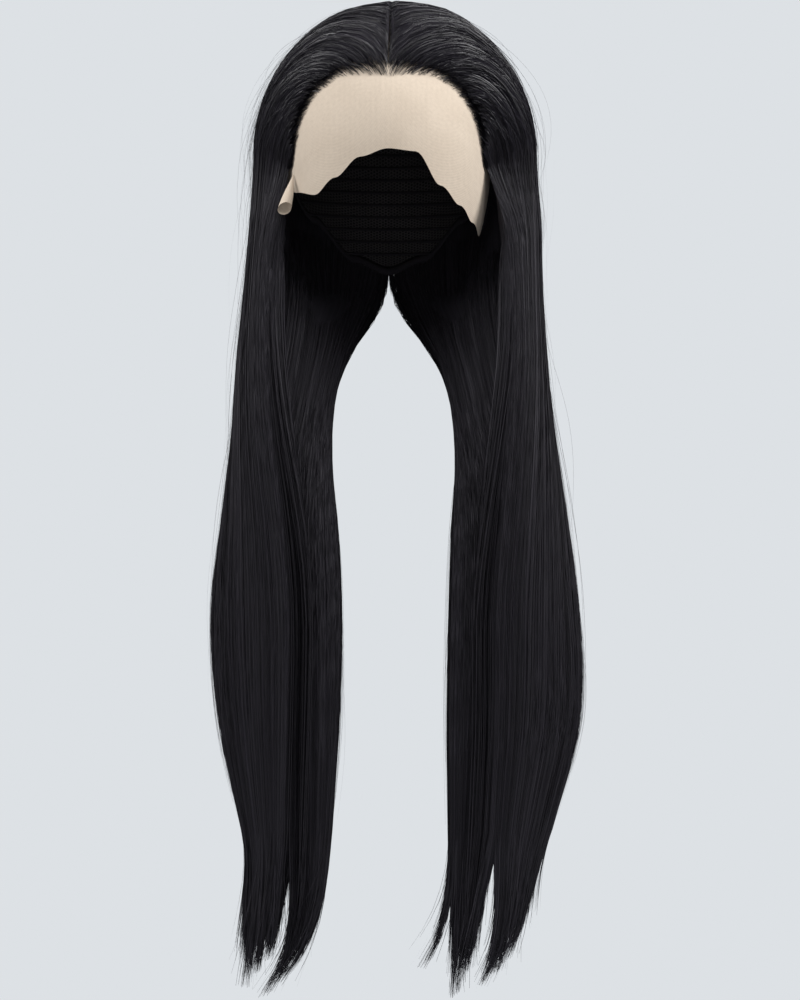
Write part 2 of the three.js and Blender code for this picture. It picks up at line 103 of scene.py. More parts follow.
@dataclass(frozen=True)
class HeadForm:
    """The head hollow that lace and cap close round."""

    width: float = 0.154
    length: float = 0.194
    crown: float = 0.105
    face_drop: float = 0.140
    nape_drop: float = 0.125
    clear_share: float = 0.85

    def lower_height(self, toward: Array) -> Array:
        """Give the height of the lower half in some directions."""
        level = np.maximum(np.hypot(toward[..., 0], toward[..., 1]), 1e-9)
        return mix(self.face_drop, self.nape_drop, (1 + toward[..., 1] / level) / 2)

    def surface(self, toward: Array, outside: Array) -> Array:
        """Find points on the head, or on the surface some way outside it.

        Args:
            toward: Unit directions.
            outside: Distances outside the head.

        Returns:
            The points.
        """
        height = np.where(toward[..., 2] > 0, self.crown, self.lower_height(toward))
        return np.stack(
            [
                toward[..., 0] * (self.width / 2 + outside),
                toward[..., 1] * (self.length / 2 + outside),
                toward[..., 2] * (height + outside) - self.crown,
            ],
            -1,
        )

    def at_drop(self, azimuth: Array, drop: Array) -> Array:
        """Find the directions in which the head lies that far below its crown."""
        azimuth, drop = np.broadcast_arrays(np.asarray(azimuth, float), np.asarray(drop, float))
        lower = self.lower_height(direction(azimuth, np.full(azimuth.shape, np.pi / 2)))
        height = np.where(drop < self.crown, self.crown, lower)
        return direction(azimuth, np.arccos(np.clip((self.crown - drop) / height, -1, 1)))

    def pushed_clear(self, points: Array, outside: float) -> Array:
        """Move points that lie inside the head level outwards to its surface.

        Args:
            points: Points to move.
            outside: How far outside the head they have to be.

        Returns:
            The moved points.
        """
        across = points[..., 0] / (self.width / 2 + outside)
        back = points[..., 1] / (self.length / 2 + outside)
        level = np.maximum(np.hypot(across, back), 1e-9)
        lower = mix(self.face_drop, self.nape_drop, (1 + back / level) / 2)
        above = points[..., 2] + self.crown
        height = np.where(above > 0, self.crown, lower) + outside
        wanted = np.sqrt(np.clip(1 - (above / height) ** 2, 0, 1))
        floor = -(self.crown + self.clear_share * self.nape_drop)
        inside = (level < wanted) & (points[..., 2] > floor)
        factor = np.where(inside, wanted / level, 1.0)
        return points * np.stack([factor, factor, np.ones_like(factor)], -1)


HEAD = HeadForm()


@dataclass(frozen=True)
class Section:
    """An oval section of falling hair, in shares of its tress's sizes."""

    drop: float
    first_x: float
    first_y: float
    second_x: float
    second_y: float
    half: float


@dataclass(frozen=True)
class Lock:
    """A tapering lock at the end of a tress, in shares of its sizes."""

    root_x: float
    root_y: float
    wide: float
    thick: float
    tip_x: float
    tip_y: float
    tip: float


@dataclass(frozen=True)
class Wisp:
    """A tapering wisp that strands end in, in shares of the reach and of the fall."""

    root: float
    tip: float
    drop: float
    bend: float = 2.0


RIGHT_WISPS = (
    Wisp(0.83, 0.82, 0.962),
    Wisp(0.76, 0.80, 0.99),
    Wisp(0.69, 0.75, 0.975),
    Wisp(0.61, 0.69, 0.962),
    Wisp(0.49, 0.715, 1.0, 3.6),
    Wisp(0.42, 0.69, 0.997, 2.9),
    Wisp(0.36, 0.62, 0.985, 2.6),
)

LEFT_WISPS = (
    Wisp(0.305, 0.17, 0.97, 3.2),
    Wisp(0.36, 0.33, 1.0, 1.6),
    Wisp(0.43, 0.355, 0.995, 1.3),
    Wisp(0.50, 0.385, 0.975, 1.15),
    Wisp(0.61, 0.46, 0.988, 3.4),
    Wisp(0.69, 0.53, 0.98),
    Wisp(0.77, 0.595, 0.962, 1.6),
    Wisp(0.84, 0.635, 0.945, 1.4),
    Wisp(0.90, 0.665, 0.92, 1.3),
)


@dataclass(frozen=True)
class HairSizes:
    """Sizes that all four pieces of hair share."""

    hairline_drop: float = 0.053
    temple_drop: float = 0.118
    top: float = 0.009
    side: float = 0.027
    back: float = 0.018
    lean: float = 0.005
    ear_azimuth: float = 98.0
    parting_tilt: float = 35.0
    crown_rise: float = 0.3
    front_rise: float = 0.4
    edge: float = 0.0016
    thin_edge: float = 0.0004
    parting_rise: float = 0.65
    relief: float = 0.0015
    fullness: float = 0.0006
    right_lift: float = 0.0008
    left_lift: float = 0.0034
    fall: float = 0.724
    forward: float = 0.096
    depth: float = 0.040
    lock_root: float = 0.044


HAIR = HairSizes()

# Share of the hairline's length from the parting, azimuth, and share of the way down to the temple
HAIRLINE = np.array(
    [
        (0, 0, 0),
        (0.27, 29, 0.05),
        (0.44, 43, 0.2),
        (0.6, 52, 0.41),
        (0.79, 59, 0.69),
        (1, 67, 1),
    ]
)


def hairline(along: Array) -> Array:
    """Find directions on the hairline, from the parting (0) to the temple (1)."""
    azimuth = np.radians(np.interp(along, HAIRLINE[:, 0], HAIRLINE[:, 1]))
    lowered = np.interp(along, HAIRLINE[:, 0], HAIRLINE[:, 2])
    return HEAD.at_drop(azimuth, mix(HAIR.hairline_drop, HAIR.temple_drop, lowered))


def drawn_back(along: Array) -> Array:
    """Tell how far behind the knotted edge the full hair begins, as a share of the side."""
    along = np.clip(along, 0, 1)
    return mix(0.125, 0.0, smooth(0.7, 1.0, along)) + 0.05 * np.sin(np.pi * along**0.8)


def behind_ear(along: Array) -> Array:
    """Find directions on the line down from the crown behind the ear."""
    azimuth = np.radians(HAIR.ear_azimuth)
    lowest = np.arccos(HEAD.at_drop(azimuth, HAIR.temple_drop)[..., 2])
    return direction(np.full(np.shape(along), azimuth), lowest * np.asarray(along))


def back_middle(along: Array) -> Array:
    """Find directions down the middle of the back, from the end of the parting."""
    lowest = np.arccos(HEAD.at_drop(np.pi, HAIR.temple_drop)[..., 2])
    tilt = mix(np.radians(HAIR.parting_tilt), lowest, np.asarray(along))
    return direction(np.full(np.shape(along), np.pi), tilt)


def between(first: Array, second: Array, share: Array) -> Array:
    """Follow great circles from one direction to another."""
    angle = np.arccos(np.clip((first * second).sum(-1, keepdims=True), -1, 1))
    return (np.sin((1 - share) * angle) * first + np.sin(share * angle) * second) / np.sin(angle)


def curve_through(guides: Array, steps: int) -> Array:
    """Run smooth curves through rows of points, centripetally, from the second row on.

    Args:
        guides: Points, rows first.
        steps: Steps from one row to the next.

    Returns:
        Points after the second row, rows first.
    """
    ends = [2 * guides[:1] - guides[1:2], guides, 2 * guides[-1:] - guides[-2:-1]]
    points = np.concatenate(ends)
    gaps = np.maximum(np.linalg.norm(np.diff(points, axis=0), axis=-1, keepdims=True) ** 0.5, 1e-4)
    rows = []
    for row in range(2, len(guides)):
        before, low, high, after = points[row - 1 : row + 3]
        first, middle, last = gaps[row - 1 : row + 2]
        into = (low - before) / first - (high - before) / (first + middle) + (high - low) / middle
        out = (high - low) / middle - (after - low) / (middle + last) + (after - high) / last
        into, out = into * middle, out * middle
        for step in range(1, steps + 1):
            at = step / steps
            cubic = (2 * low - 2 * high + into + out) * at**3
            square = (-3 * low + 3 * high - 2 * into - out) * at**2
            rows.append(cubic + square + into * at + low)
    return np.stack(rows)


@dataclass
class HairForm:
    """One of the four pieces of hair, as lanes on the head that run on into its tress."""

    side: Side
    place: Place
    reach: float
    fall: Sequence[Section]
    locks: Sequence[Lock]
    wisps: Sequence[Wisp]
    outer: Array = field(init=False)
    inner: Array = field(init=False)

    def __post_init__(self) -> None:
        """Work out the grids of both faces, rows by lanes."""
        share = np.linspace(0, 1, LANES + 1)
        along = np.linspace(0, 1, CROWN_ROWS + 1)
        crown = self.crown_faces(along, share)
        stations = [self.oval(section, share) for section in self.fall]
        faces = []
        for face in (0, 1):
            guides = [crown[face][CROWN_ROWS * 7 // 8], crown[face][-1]]
            guides += [station[face] for station in stations]
            falling = curve_through(np.stack(guides), FALL_STEPS)
            faces.append(np.concatenate([crown[face], falling]))
        self.outer, self.inner = (HEAD.pushed_clear(rows, HAIR_OFFSET) for rows in faces)

    @property
    def side_lift(self) -> float:
        """How much higher the hair stands beside the parting than its solid."""
        return HAIR.left_lift if self.side is Side.LEFT else HAIR.right_lift

    @property
    def name(self) -> str:
        """Name of the piece, which is also its solid's."""
        return f"hair_{self.place.value}_{self.side.name.lower()}"

    @property
    def last_row(self) -> float:
        """Row at which the last section lies."""
        return len(self.outer) - 1.0

    def furrow(self, share: Array) -> Array:
        """Give the depth of the furrows between locks, zero at both ends."""
        locks = 4 if self.place is Place.FRONT else 5
        wave = np.abs(np.sin(np.pi * locks * share)) - 0.5
        fine = 0.22 * np.sin(np.pi * locks * 4.3 * share + self.reach * 40)
        return HAIR.relief * (wave + fine) * np.sin(np.pi * share)

    def crown_faces(self, along: Array, share: Array) -> tuple[Array, Array]:
        """Work out both faces of the hair on the head.

        Args:
            along: From the parting (0) to the temple's level (1).
            share: Across the lanes, from first to second.

        Returns:
            Outer and inner points, each along by share.
        """
        front = self.place is Place.FRONT
        first = (hairline if front else behind_ear)(along)[:, None]
        second = (behind_ear if front else back_middle)(along)[:, None]
        toward = between(first, second, share[None, :, None])
        thin = smooth(0, 0.06, share) if front else np.ones_like(share)
        low = HEAD.surface(toward, CLEAR_OFFSET + HAIR.thin_edge + (HAIR.edge - HAIR.thin_edge) * thin)
        height = np.where(toward[..., 2] > 0, HEAD.crown, HEAD.lower_height(toward)) + HAIR.top
        full = np.stack(
            [
                toward[..., 0] * (HEAD.width / 2 + HAIR.side) + self.side.value * HAIR.lean,
                toward[..., 1] * (HEAD.length / 2 + HAIR.back),
                toward[..., 2] * height - HEAD.crown,
            ],
            -1,
        )
        rise = smooth(0, HAIR.front_rise, share) if front else np.ones_like(share)
        shoulder = mix(0.7, 1.0, np.sin(np.pi / 2 * np.clip(along / 0.02, 0, 1)))
        parting = mix(HAIR.parting_rise, 1, smooth(0, HAIR.crown_rise, along)) * shoulder
        rise = (rise[None, :] * parting[:, None])[..., None]
        outer = low + (full - low) * rise
        inner = HEAD.surface(toward, HAIR_OFFSET)
        crest = smooth(0.1, 0.4, along) * smooth(1.15, 0.7, along)
        lift = self.furrow(share)[None, :, None] * rise + HAIR.fullness * crest[:, None, None] * rise
        beside = smooth(0, 0.1, along) * smooth(0.36, 0.17, along)
        lift = lift + self.side_lift * beside[:, None, None] * rise
        return outer + unit(outer - inner) * lift, inner

    def oval(self, section: Section, share: Array) -> tuple[Array, Array]:
        """Work out both faces of one section of the falling hair.

        Args:
            section: The section.
            share: Across the lanes.

        Returns:
            Outer and inner points.
        """
        level = -section.drop * HAIR.fall
        first_x, second_x = section.first_x * self.reach, section.second_x * self.reach
        first = np.array([first_x, section.first_y * HAIR.forward, level])
        second = np.array([second_x, section.second_y * HAIR.forward, level])
        ahead = unit(second - first)
        outward = np.array([ahead[1], -ahead[0], 0.0])
        middle = first + (second - first) * ((1 - np.cos(np.pi * share)) / 2)[:, None]
        full = section.half * HAIR.depth
        swell = np.maximum(np.sin(np.pi * share), 0) ** 0.8
        half = mix(min(HAIR.edge, full) / 2, full, swell)
        outer = middle + outward * (half + self.furrow(share))[:, None]
        return outer, middle - outward * half[:, None]

    def both(self, row: Array, share: Array) -> tuple[Array, Array]:
        """Find the points of both faces.

        Args:
            row: Row of the grid, from 0 at the parting.
            share: Across the lanes.

        Returns:
            Inner and outer points, on the piece's own side.
        """
        row = np.clip(row, 0, self.last_row - 1e-6)
        lane = np.clip(share, 0, 1) * (LANES - 1e-6)
        r, c = row.astype(int), lane.astype(int)
        dr, dc = (row - r)[..., None], (lane - c)[..., None]
        faces = []
        for face in (self.inner, self.outer):
            near = mix(face[r, c], face[r, c + 1], dc)
            far = mix(face[r + 1, c], face[r + 1, c + 1], dc)
            faces.append(self.mirrored(mix(near, far, dr)))
        return faces[0], faces[1]

    def at(self, row: Array, share: Array, depth: Array) -> Array:
        """Find points inside the piece."""
        inner, outer = self.both(row, share)
        return mix(inner, outer, np.asarray(depth)[..., None])

    def mirrored(self, points: Array) -> Array:
        """Take points from the +X side to the piece's own."""
        shift = np.array([PIECE_GAP / 2, 0, 0])
        return (points + shift) * np.array([self.side.value, 1, 1])


FALL_DROPS = (0.215, 0.27, 0.35, 0.43, 0.52, 0.61, 0.72, 0.83)
FALL_HALVES = (0.38, 0.4, 0.42, 0.42, 0.36, 0.26)
FIRST_Y = {
    Place.FRONT: (-0.5, -0.68, -0.84, -0.92, -0.93, -0.9, -0.88, -0.85),
    Place.BACK: (0.04, -0.12, -0.28, -0.38, -0.4, -0.46, -0.5, -0.54),
}
SECOND_Y = {
    Place.FRONT: (0.2, 0.0, -0.2, -0.36, -0.46, -0.52, -0.56, -0.6),
    Place.BACK: (0.99, 0.82, 0.36, -0.2, -0.56, -0.7, -0.74, -0.74),
}


def fall(
    place: Place, first_x: Sequence[float], second_x: Sequence[float], halves: Sequence[float]
) -> list[Section]:
    """Make the sections of a falling tress."""
    columns = (FALL_DROPS, first_x, FIRST_Y[place], second_x, SECOND_Y[place], (*halves, *FALL_HALVES))
    return [Section(*row) for row in zip(*columns)]


RIGHT_FRONT = HairForm(
    Side.RIGHT,
    Place.FRONT,
    0.129,
    fall(
        Place.FRONT,
        (0.62, 0.66, 0.66, 0.63, 0.57, 0.54, 0.55, 0.57),
        (0.69, 0.72, 0.78, 0.83, 0.91, 0.98, 0.94, 0.81),
        (0.42, 0.36),
    ),
    (
        Lock(0.79, -0.66, 0.3, 0.2, 0.8, -0.66, 0.93),
        Lock(0.71, -0.76, 0.32, 0.22, 0.73, -0.74, 0.965),
        Lock(0.62, -0.8, 0.28, 0.2, 0.62, -0.78, 0.945),
    ),
    RIGHT_WISPS,
)
LEFT_FRONT = HairForm(
    Side.LEFT,
    Place.FRONT,
    0.1444,
    fall(
        Place.FRONT,
        (0.6, 0.62, 0.62, 0.59, 0.55, 0.52, 0.52, 0.5),
        (0.7, 0.7, 0.74, 0.8, 0.88, 0.95, 0.96, 0.82),
        (0.45, 0.38),
    ),
    (
        Lock(0.78, -0.66, 0.3, 0.2, 0.66, -0.68, 0.915),
        Lock(0.67, -0.76, 0.36, 0.22, 0.58, -0.76, 0.955),
        Lock(0.55, -0.8, 0.3, 0.2, 0.47, -0.8, 0.98),
    ),
    LEFT_WISPS,
)
RIGHT_BACK = HairForm(
    Side.RIGHT,
    Place.BACK,
    0.129,
    fall(
        Place.BACK,
        (0.71, 0.74, 0.76, 0.79, 0.82, 0.84, 0.76, 0.68),
        (0.02, 0.09, 0.29, 0.33, 0.29, 0.265, 0.28, 0.32),
        (0.34, 0.36),
    ),
    (
        Lock(0.62, -0.58, 0.34, 0.2, 0.66, -0.6, 0.95),
        Lock(0.5, -0.66, 0.34, 0.22, 0.61, -0.66, 0.975),
        Lock(0.39, -0.72, 0.26, 0.22, 0.7, -0.7, 1.0),
    ),
    RIGHT_WISPS,
)
LEFT_BACK = HairForm(
    Side.LEFT,
    Place.BACK,
    0.1444,
    fall(
        Place.BACK,
        (0.69, 0.7, 0.72, 0.75, 0.79, 0.83, 0.8, 0.66),
        (0.02, 0.09, 0.29, 0.345, 0.325, 0.31, 0.3, 0.305),
        (0.34, 0.36),
    ),
    (
        Lock(0.6, -0.58, 0.34, 0.2, 0.5, -0.6, 0.94),
        Lock(0.47, -0.66, 0.34, 0.22, 0.37, -0.66, 0.965),
        Lock(0.38, -0.72, 0.28, 0.22, 0.32, -0.72, 0.995),
    ),
    LEFT_WISPS,
)


class Bench:
    """Adds nodes to one tree and joins them."""

    def __init__(self, tree: bpy.types.NodeTree) -> None:
        """Take the tree to work on."""
        self.tree = tree

    def add(self, kind: str, inputs: dict | None = None, **settings: object) -> bpy.types.Node:
        """Add one node.

        Args:
            kind: Node type.
            inputs: Values or sockets for its inputs, by name or number.
            settings: Values for its settings.

        Returns:
            The node.
        """
        node = self.tree.nodes.new(kind)
        for name, value in settings.items():
            setattr(node, name, value)
        self.feed(node, inputs or {})
        return node

    def feed(self, node: bpy.types.Node, inputs: dict) -> None:
        """Set a node's inputs, by name or number, to values or sockets."""
        for key, value in inputs.items():
            if isinstance(value, bpy.types.NodeSocket):
                self.tree.links.new(value, node.inputs[key])
            else:
                node.inputs[key].default_value = value

    def math(self, operation: str, *values: object) -> bpy.types.NodeSocket:
        """Add a Math node and return its result."""
        node = self.add("ShaderNodeMath", dict(enumerate(values)), operation=operation)
        return node.outputs[0]

    def ramp(self, factor: object, low: float, high: float, out: tuple[float, float]) -> object:
        """Ease a factor from one range to another."""
        inputs = {0: factor, 1: low, 2: high, 3: out[0], 4: out[1]}
        node = self.add("ShaderNodeMapRange", inputs, interpolation_type="SMOOTHSTEP")
        return node.outputs[0]

    def blend(self, factor: object, first: object, second: object) -> bpy.types.NodeSocket:
        """Mix two colours by a factor and return the result's socket."""
        node = self.add("ShaderNodeMix", {0: factor, 6: first, 7: second}, data_type="RGBA")
        return node.outputs[2]

    def weigh(self, first: object, second: object, share: float) -> bpy.types.NodeSocket:
        """Add a share of the first value to the rest of the second."""
        return self.math("MULTIPLY_ADD", first, share, self.math("MULTIPLY", second, 1 - share))

    def noise(self, vector: object, scale: float, detail: float = 2.0) -> bpy.types.NodeSocket:
        """Add a noise texture and return its value."""
        inputs = {"Vector": vector, "Scale": scale, "Detail": detail}
        return self.add("ShaderNodeTexNoise", inputs).outputs[0]

    def bump(self, height: object, strength: float, depth: float) -> bpy.types.NodeSocket:
        """Add a bump from a height and return its normal."""
        inputs = {"Height": height, "Strength": strength, "Distance": depth}
        return self.add("ShaderNodeBump", inputs).outputs[0]


def shader_group(name: str, takes: dict[str, object], gives: dict[str, str]) -> tuple[Bench, object]:
    """Start a shader node group with named inputs and outputs.

    Args:
        name: Name of the group.
        takes: Default of each input; its type follows from it.
        gives: Socket type of each output.

    Returns:
        A bench on the group's tree, and the sockets of what it takes.
    """
    tree = bpy.data.node_groups.new(name, "ShaderNodeTree")
    kinds = {4: "NodeSocketColor", 3: "NodeSocketVector", 1: "NodeSocketFloat"}
    for label, value in takes.items():
        kind = kinds[np.size(value)]
        tree.interface.new_socket(label, in_out="INPUT", socket_type=kind).default_value = value
    for label, kind in gives.items():
        tree.interface.new_socket(label, in_out="OUTPUT", socket_type=kind)
    given = tree.nodes.new("NodeGroupInput").outputs
    tree.nodes.new("NodeGroupOutput")
    return Bench(tree), given


def streak_group() -> bpy.types.NodeTree:
    """Build the streaks that run along hair, from the map's U across and V along.

    Returns:
        The node group, with Color, Roughness and Height.
    """
    takes = {
        "Map": (0.0, 0.0, 0.0),
        "Across": 60.0,
        "Along": 2.0,
        "Shade": 0.5,
        "Dark": (0.01, 0.01, 0.01, 1.0),
        "Light": (0.03, 0.03, 0.03, 1.0),
        "Gloss": 0.4,
        "Matte": 0.0,
    }
    gives = {"Color": "NodeSocketColor", "Roughness": "NodeSocketFloat", "Height": "NodeSocketFloat"}
    bench, given = shader_group("strand_streaks", takes, gives)
    scale = bench.add("ShaderNodeCombineXYZ", {0: given["Across"], 1: given["Along"]}).outputs[0]
    spread = bench.add("ShaderNodeVectorMath", {0: given["Map"], 1: scale}, operation="MULTIPLY").outputs[0]
    both = bench.weigh(bench.noise(spread, 5.0, 3.0), bench.noise(spread, 1.0), 0.5)
    streak = bench.ramp(both, 0.36, 0.66, (0.0, 1.0))
    tint = bench.weigh(streak, given["Shade"], 0.35)
    rough = bench.math("MULTIPLY_ADD", streak, -0.12, bench.math("ADD", given["Gloss"], 0.08))
    rough = bench.math("MULTIPLY_ADD", given["Matte"], 0.38, rough)
    rough = bench.math("MULTIPLY_ADD", given["Shade"], -0.3, bench.math("ADD", rough, 0.09))
    colour = bench.blend(tint, given["Dark"], given["Light"])
    bench.feed(bench.tree.nodes["Group Output"], {"Color": colour, "Roughness": rough, "Height": both})
    return bench.tree


def net_group() -> bpy.types.NodeTree:
    """Build the six-sided mesh of a knitted net, from the map in metres.

    Returns:
        The node group, with Threads, 1 on a thread.
    """
    takes = {"Map": (0.0, 0.0, 0.0), "Pitch": 0.001, "Thread": 0.5}
    bench, given = shader_group("net_mesh", takes, {"Threads": "NodeSocketFloat"})
    parts = bench.add("ShaderNodeSeparateXYZ", {0: given["Map"]}).outputs
    turns = bench.math("DIVIDE", 2 * np.pi, given["Pitch"])
    total = 0.0
    for angle in (0.0, 60.0, 120.0):
        across = bench.math("MULTIPLY", parts[0], float(np.cos(np.radians(angle))))
        along = bench.math("MULTIPLY_ADD", parts[1], float(np.sin(np.radians(angle))), across)
        wave = bench.math("COSINE", bench.math("MULTIPLY", along, turns))
        total = bench.math("ADD", wave, total)
    edge = bench.math("MULTIPLY_ADD", given["Thread"], 3.0, -1.2)
    inputs = {0: total, 1: bench.math("ADD", edge, 0.7), 2: bench.math("SUBTRACT", edge, 0.7)}
    threads = bench.add("ShaderNodeMapRange", inputs).outputs[0]
    bench.feed(bench.tree.nodes["Group Output"], {"Threads": threads})
    return bench.tree


def new_material(name: str) -> tuple[bpy.types.Material, Bench, bpy.types.Node]:
    """Start a material."""
    material = bpy.data.materials.new(name)
    material.use_nodes = True
    tree = material.node_tree
    return material, Bench(tree), tree.nodes["Principled BSDF"]


@dataclass(frozen=True)
class HairFinish:
    """Glossy near-black hair with a faint cool light on it."""

    name: str
    across: float
    along: float
    dark: Colour = (0.002, 0.0017, 0.0032, 1.0)
    light: Colour = (0.027, 0.0235, 0.0335, 1.0)
    gloss: float = 0.36
    specular: float = 0.3
    crown_foot: float = -0.04
    bump: float = 0.5
    bump_depth: float = 0.0006
    mass_shade: float = 0.4
    crown_fade: float = 0.14
    by_strand: bool = False

    def material(self, streaks: bpy.types.NodeTree) -> bpy.types.Material:
        """Make the material.

        Args:
            streaks: The group that draws the streaks.

        Returns:
            The material.
        """
        material, bench, skin = new_material(self.name)
        shade: object = self.mass_shade
        if self.by_strand:
            shade = bench.add("ShaderNodeAttribute", attribute_name="shade").outputs["Fac"]
        inputs = {
            "Map": bench.add("ShaderNodeUVMap", uv_map="OFBake").outputs[0],
            "Across": self.across,
            "Along": self.along,
            "Shade": shade,
            "Dark": self.dark,
            "Light": self.light,
            "Gloss": self.gloss,
            "Matte": self.below_crown(bench),
        }
        drawn = bench.add("ShaderNodeGroup", inputs, node_tree=streaks).outputs
        bench.feed(skin, {"Base Color": drawn["Color"], "Roughness": drawn["Roughness"]})
        bench.feed(skin, {"Specular IOR Level": self.specular})
        if self.bump:
            bench.feed(skin, {"Normal": bench.bump(drawn["Height"], self.bump, self.bump_depth)})
        return material

    def below_crown(self, bench: Bench) -> bpy.types.NodeSocket:
        """Mask the hanging lengths, which shine less than the combed crown."""
        place = bench.add("ShaderNodeNewGeometry").outputs["Position"]
        height = bench.add("ShaderNodeSeparateXYZ", {0: place}).outputs["Z"]
        return bench.ramp(height, self.crown_foot, self.crown_foot - self.crown_fade, (0.0, 1.0))


@dataclass(frozen=True)
class NetFinish:
    """A knitted net: threads over holes that show some of what is behind."""

    name: str
    thread: Colour
    shadow: Colour
    pitch: float
    cover: float
    hole_alpha: float
    roughness: float = 0.85
    specular: float = 0.25
    sheen: float = 0.0
    cloud_scale: float = 38.0
    grain_scale: float = 420.0
    bump: float = 0.25
    bump_depth: float = 0.0002

    def material(self, net: bpy.types.NodeTree) -> bpy.types.Material:
        """Make the material.

        Args:
            net: The group that draws the mesh.

        Returns:
            The material.
        """
        material, bench, skin = new_material(self.name)
        chart = bench.add("ShaderNodeUVMap", uv_map="metres").outputs[0]
        inputs = {"Map": chart, "Pitch": self.pitch, "Thread": self.cover}
        threads = bench.add("ShaderNodeGroup", inputs, node_tree=net).outputs["Threads"]
        cloud = bench.noise(chart, self.cloud_scale, 4.0)
        grain = bench.noise(chart, self.grain_scale, 3.0)
        mottled = bench.ramp(bench.weigh(grain, cloud, 0.5), 0.3, 0.7, (0.0, 1.0))
        tone = bench.weigh(threads, mottled, 0.35)
        inputs = {
            "Base Color": bench.blend(tone, self.shadow, self.thread),
            "Alpha": bench.math("MULTIPLY_ADD", threads, 1 - self.hole_alpha, self.hole_alpha),
            "Normal": bench.bump(threads, self.bump, self.bump_depth),
            "Roughness": self.roughness,
            "Specular IOR Level": self.specular,
            "Sheen Weight": self.sheen,
        }
        bench.feed(skin, inputs)
        return material


@dataclass
class Finishes:
    """The finishes of the wig, each built once."""

    streaks: bpy.types.NodeTree = field(default_factory=streak_group)
    net: bpy.types.NodeTree = field(default_factory=net_group)
    strands: bpy.types.Material = field(init=False)
    mass: bpy.types.Material = field(init=False)
    lace: bpy.types.Material = field(init=False)
    cap: bpy.types.Material = field(init=False)
    binding: bpy.types.Material = field(init=False)

    def __post_init__(self) -> None:
        """Build the materials."""
        self.strands = HairFinish("hair_strands", 900.0, 3.0, bump=0.0, by_strand=True).material(
            self.streaks
        )
        self.mass = HairFinish("hair_mass", 60.0, 2.5).material(self.streaks)
        self.lace = NetFinish(
            "lace_net_finish",
            thread=(0.67, 0.57, 0.465, 1.0),
            shadow=(0.57, 0.475, 0.38, 1.0),
            pitch=0.0009,
            cover=0.55,
            hole_alpha=0.8,
            sheen=0.1,
        ).material(self.net)
        self.cap = NetFinish(
            "cap_net_finish",
            thread=(0.042, 0.039, 0.042, 1.0),
            shadow=(0.024, 0.022, 0.024, 1.0),
            pitch=0.0022,
            cover=0.6,
            hole_alpha=0.55,
        ).material(self.net)
        self.binding = HairFinish(
            "binding_finish", 300.0, 300.0, dark=(0.012, 0.011, 0.012, 1), gloss=0.75, bump=0.3
        ).material(self.streaks)


def placed(name: str, data: bpy.types.ID) -> bpy.types.Object:
    """Make an object of its data and link it to the scene."""
    made = bpy.data.objects.new(name, data)
    bpy.context.scene.collection.objects.link(made)
    return made


def mesh_object(
    name: str,
    points: Array,
    faces: Array,
    charts: dict[str, Array],
    material: bpy.types.Material,
    shade: Array | None = None,
) -> bpy.types.Object:
    """Make an object of four-sided faces.

    Args:
        name: Name of the piece.
        points: Corners, one row each.
        faces: Corner numbers, four to a row.
        charts: Map coordinates of each corner, by map name.
        material: Its finish.
        shade: A number for each corner, kept as the attribute "shade".

    Returns:
        The object, linked to the scene.
    """
    mesh = bpy.data.meshes.new(name)
    mesh.vertices.add(len(points))
    mesh.vertices.foreach_set("co", np.ascontiguousarray(points, np.float32).ravel())
    mesh.loops.add(faces.size)
    mesh.loops.foreach_set("vertex_index", faces.ravel().astype(np.int32))
    mesh.polygons.add(len(faces))
    mesh.polygons.foreach_set("loop_start", np.arange(0, faces.size, 4, dtype=np.int32))
    for label, chart in charts.items():
        layer = mesh.uv_layers.new(name=label)
        layer.uv.foreach_set("vector", chart[faces.ravel()].astype(np.float32).ravel())
    if shade is not None:
        attribute = mesh.attributes.new("shade", "FLOAT", "POINT")
        attribute.data.foreach_set("value", shade.astype(np.float32))
    mesh.update(calc_edges=True)
    mesh.validate()
    mesh.shade_smooth()
    mesh.materials.append(material)
    return placed(name, mesh)


def grid_faces(rows: int, columns: int, flip: bool = False) -> Array:
    """Number the faces of a grid of corners."""
    first = (np.arange(rows - 1)[:, None] * columns + np.arange(columns - 1)).ravel()
    faces = np.stack([first, first + 1, first + columns + 1, first + columns], -1)
    return faces[:, ::-1] if flip else faces


def grid_chart(rows: int, columns: int) -> Array:
    """Spread the corners of a grid over the whole map, the rows along V."""
    u, v = np.meshgrid(np.linspace(0, 1, columns), np.linspace(0, 1, rows))
    return np.stack([u, v], -1).reshape(-1, 2)


def joined(bodies: Sequence[tuple[Array, Array, Array]]) -> tuple[Array, Array, Array]:
    """Join bodies, each with corners, faces and map coordinates, into one."""
    points, faces, charts = zip(*bodies)
    starts = np.cumsum([0] + [len(corners) for corners in points[:-1]])
    moved = [sides + start for sides, start in zip(faces, starts)]
    return np.concatenate(points), np.concatenate(moved), np.concatenate(charts)


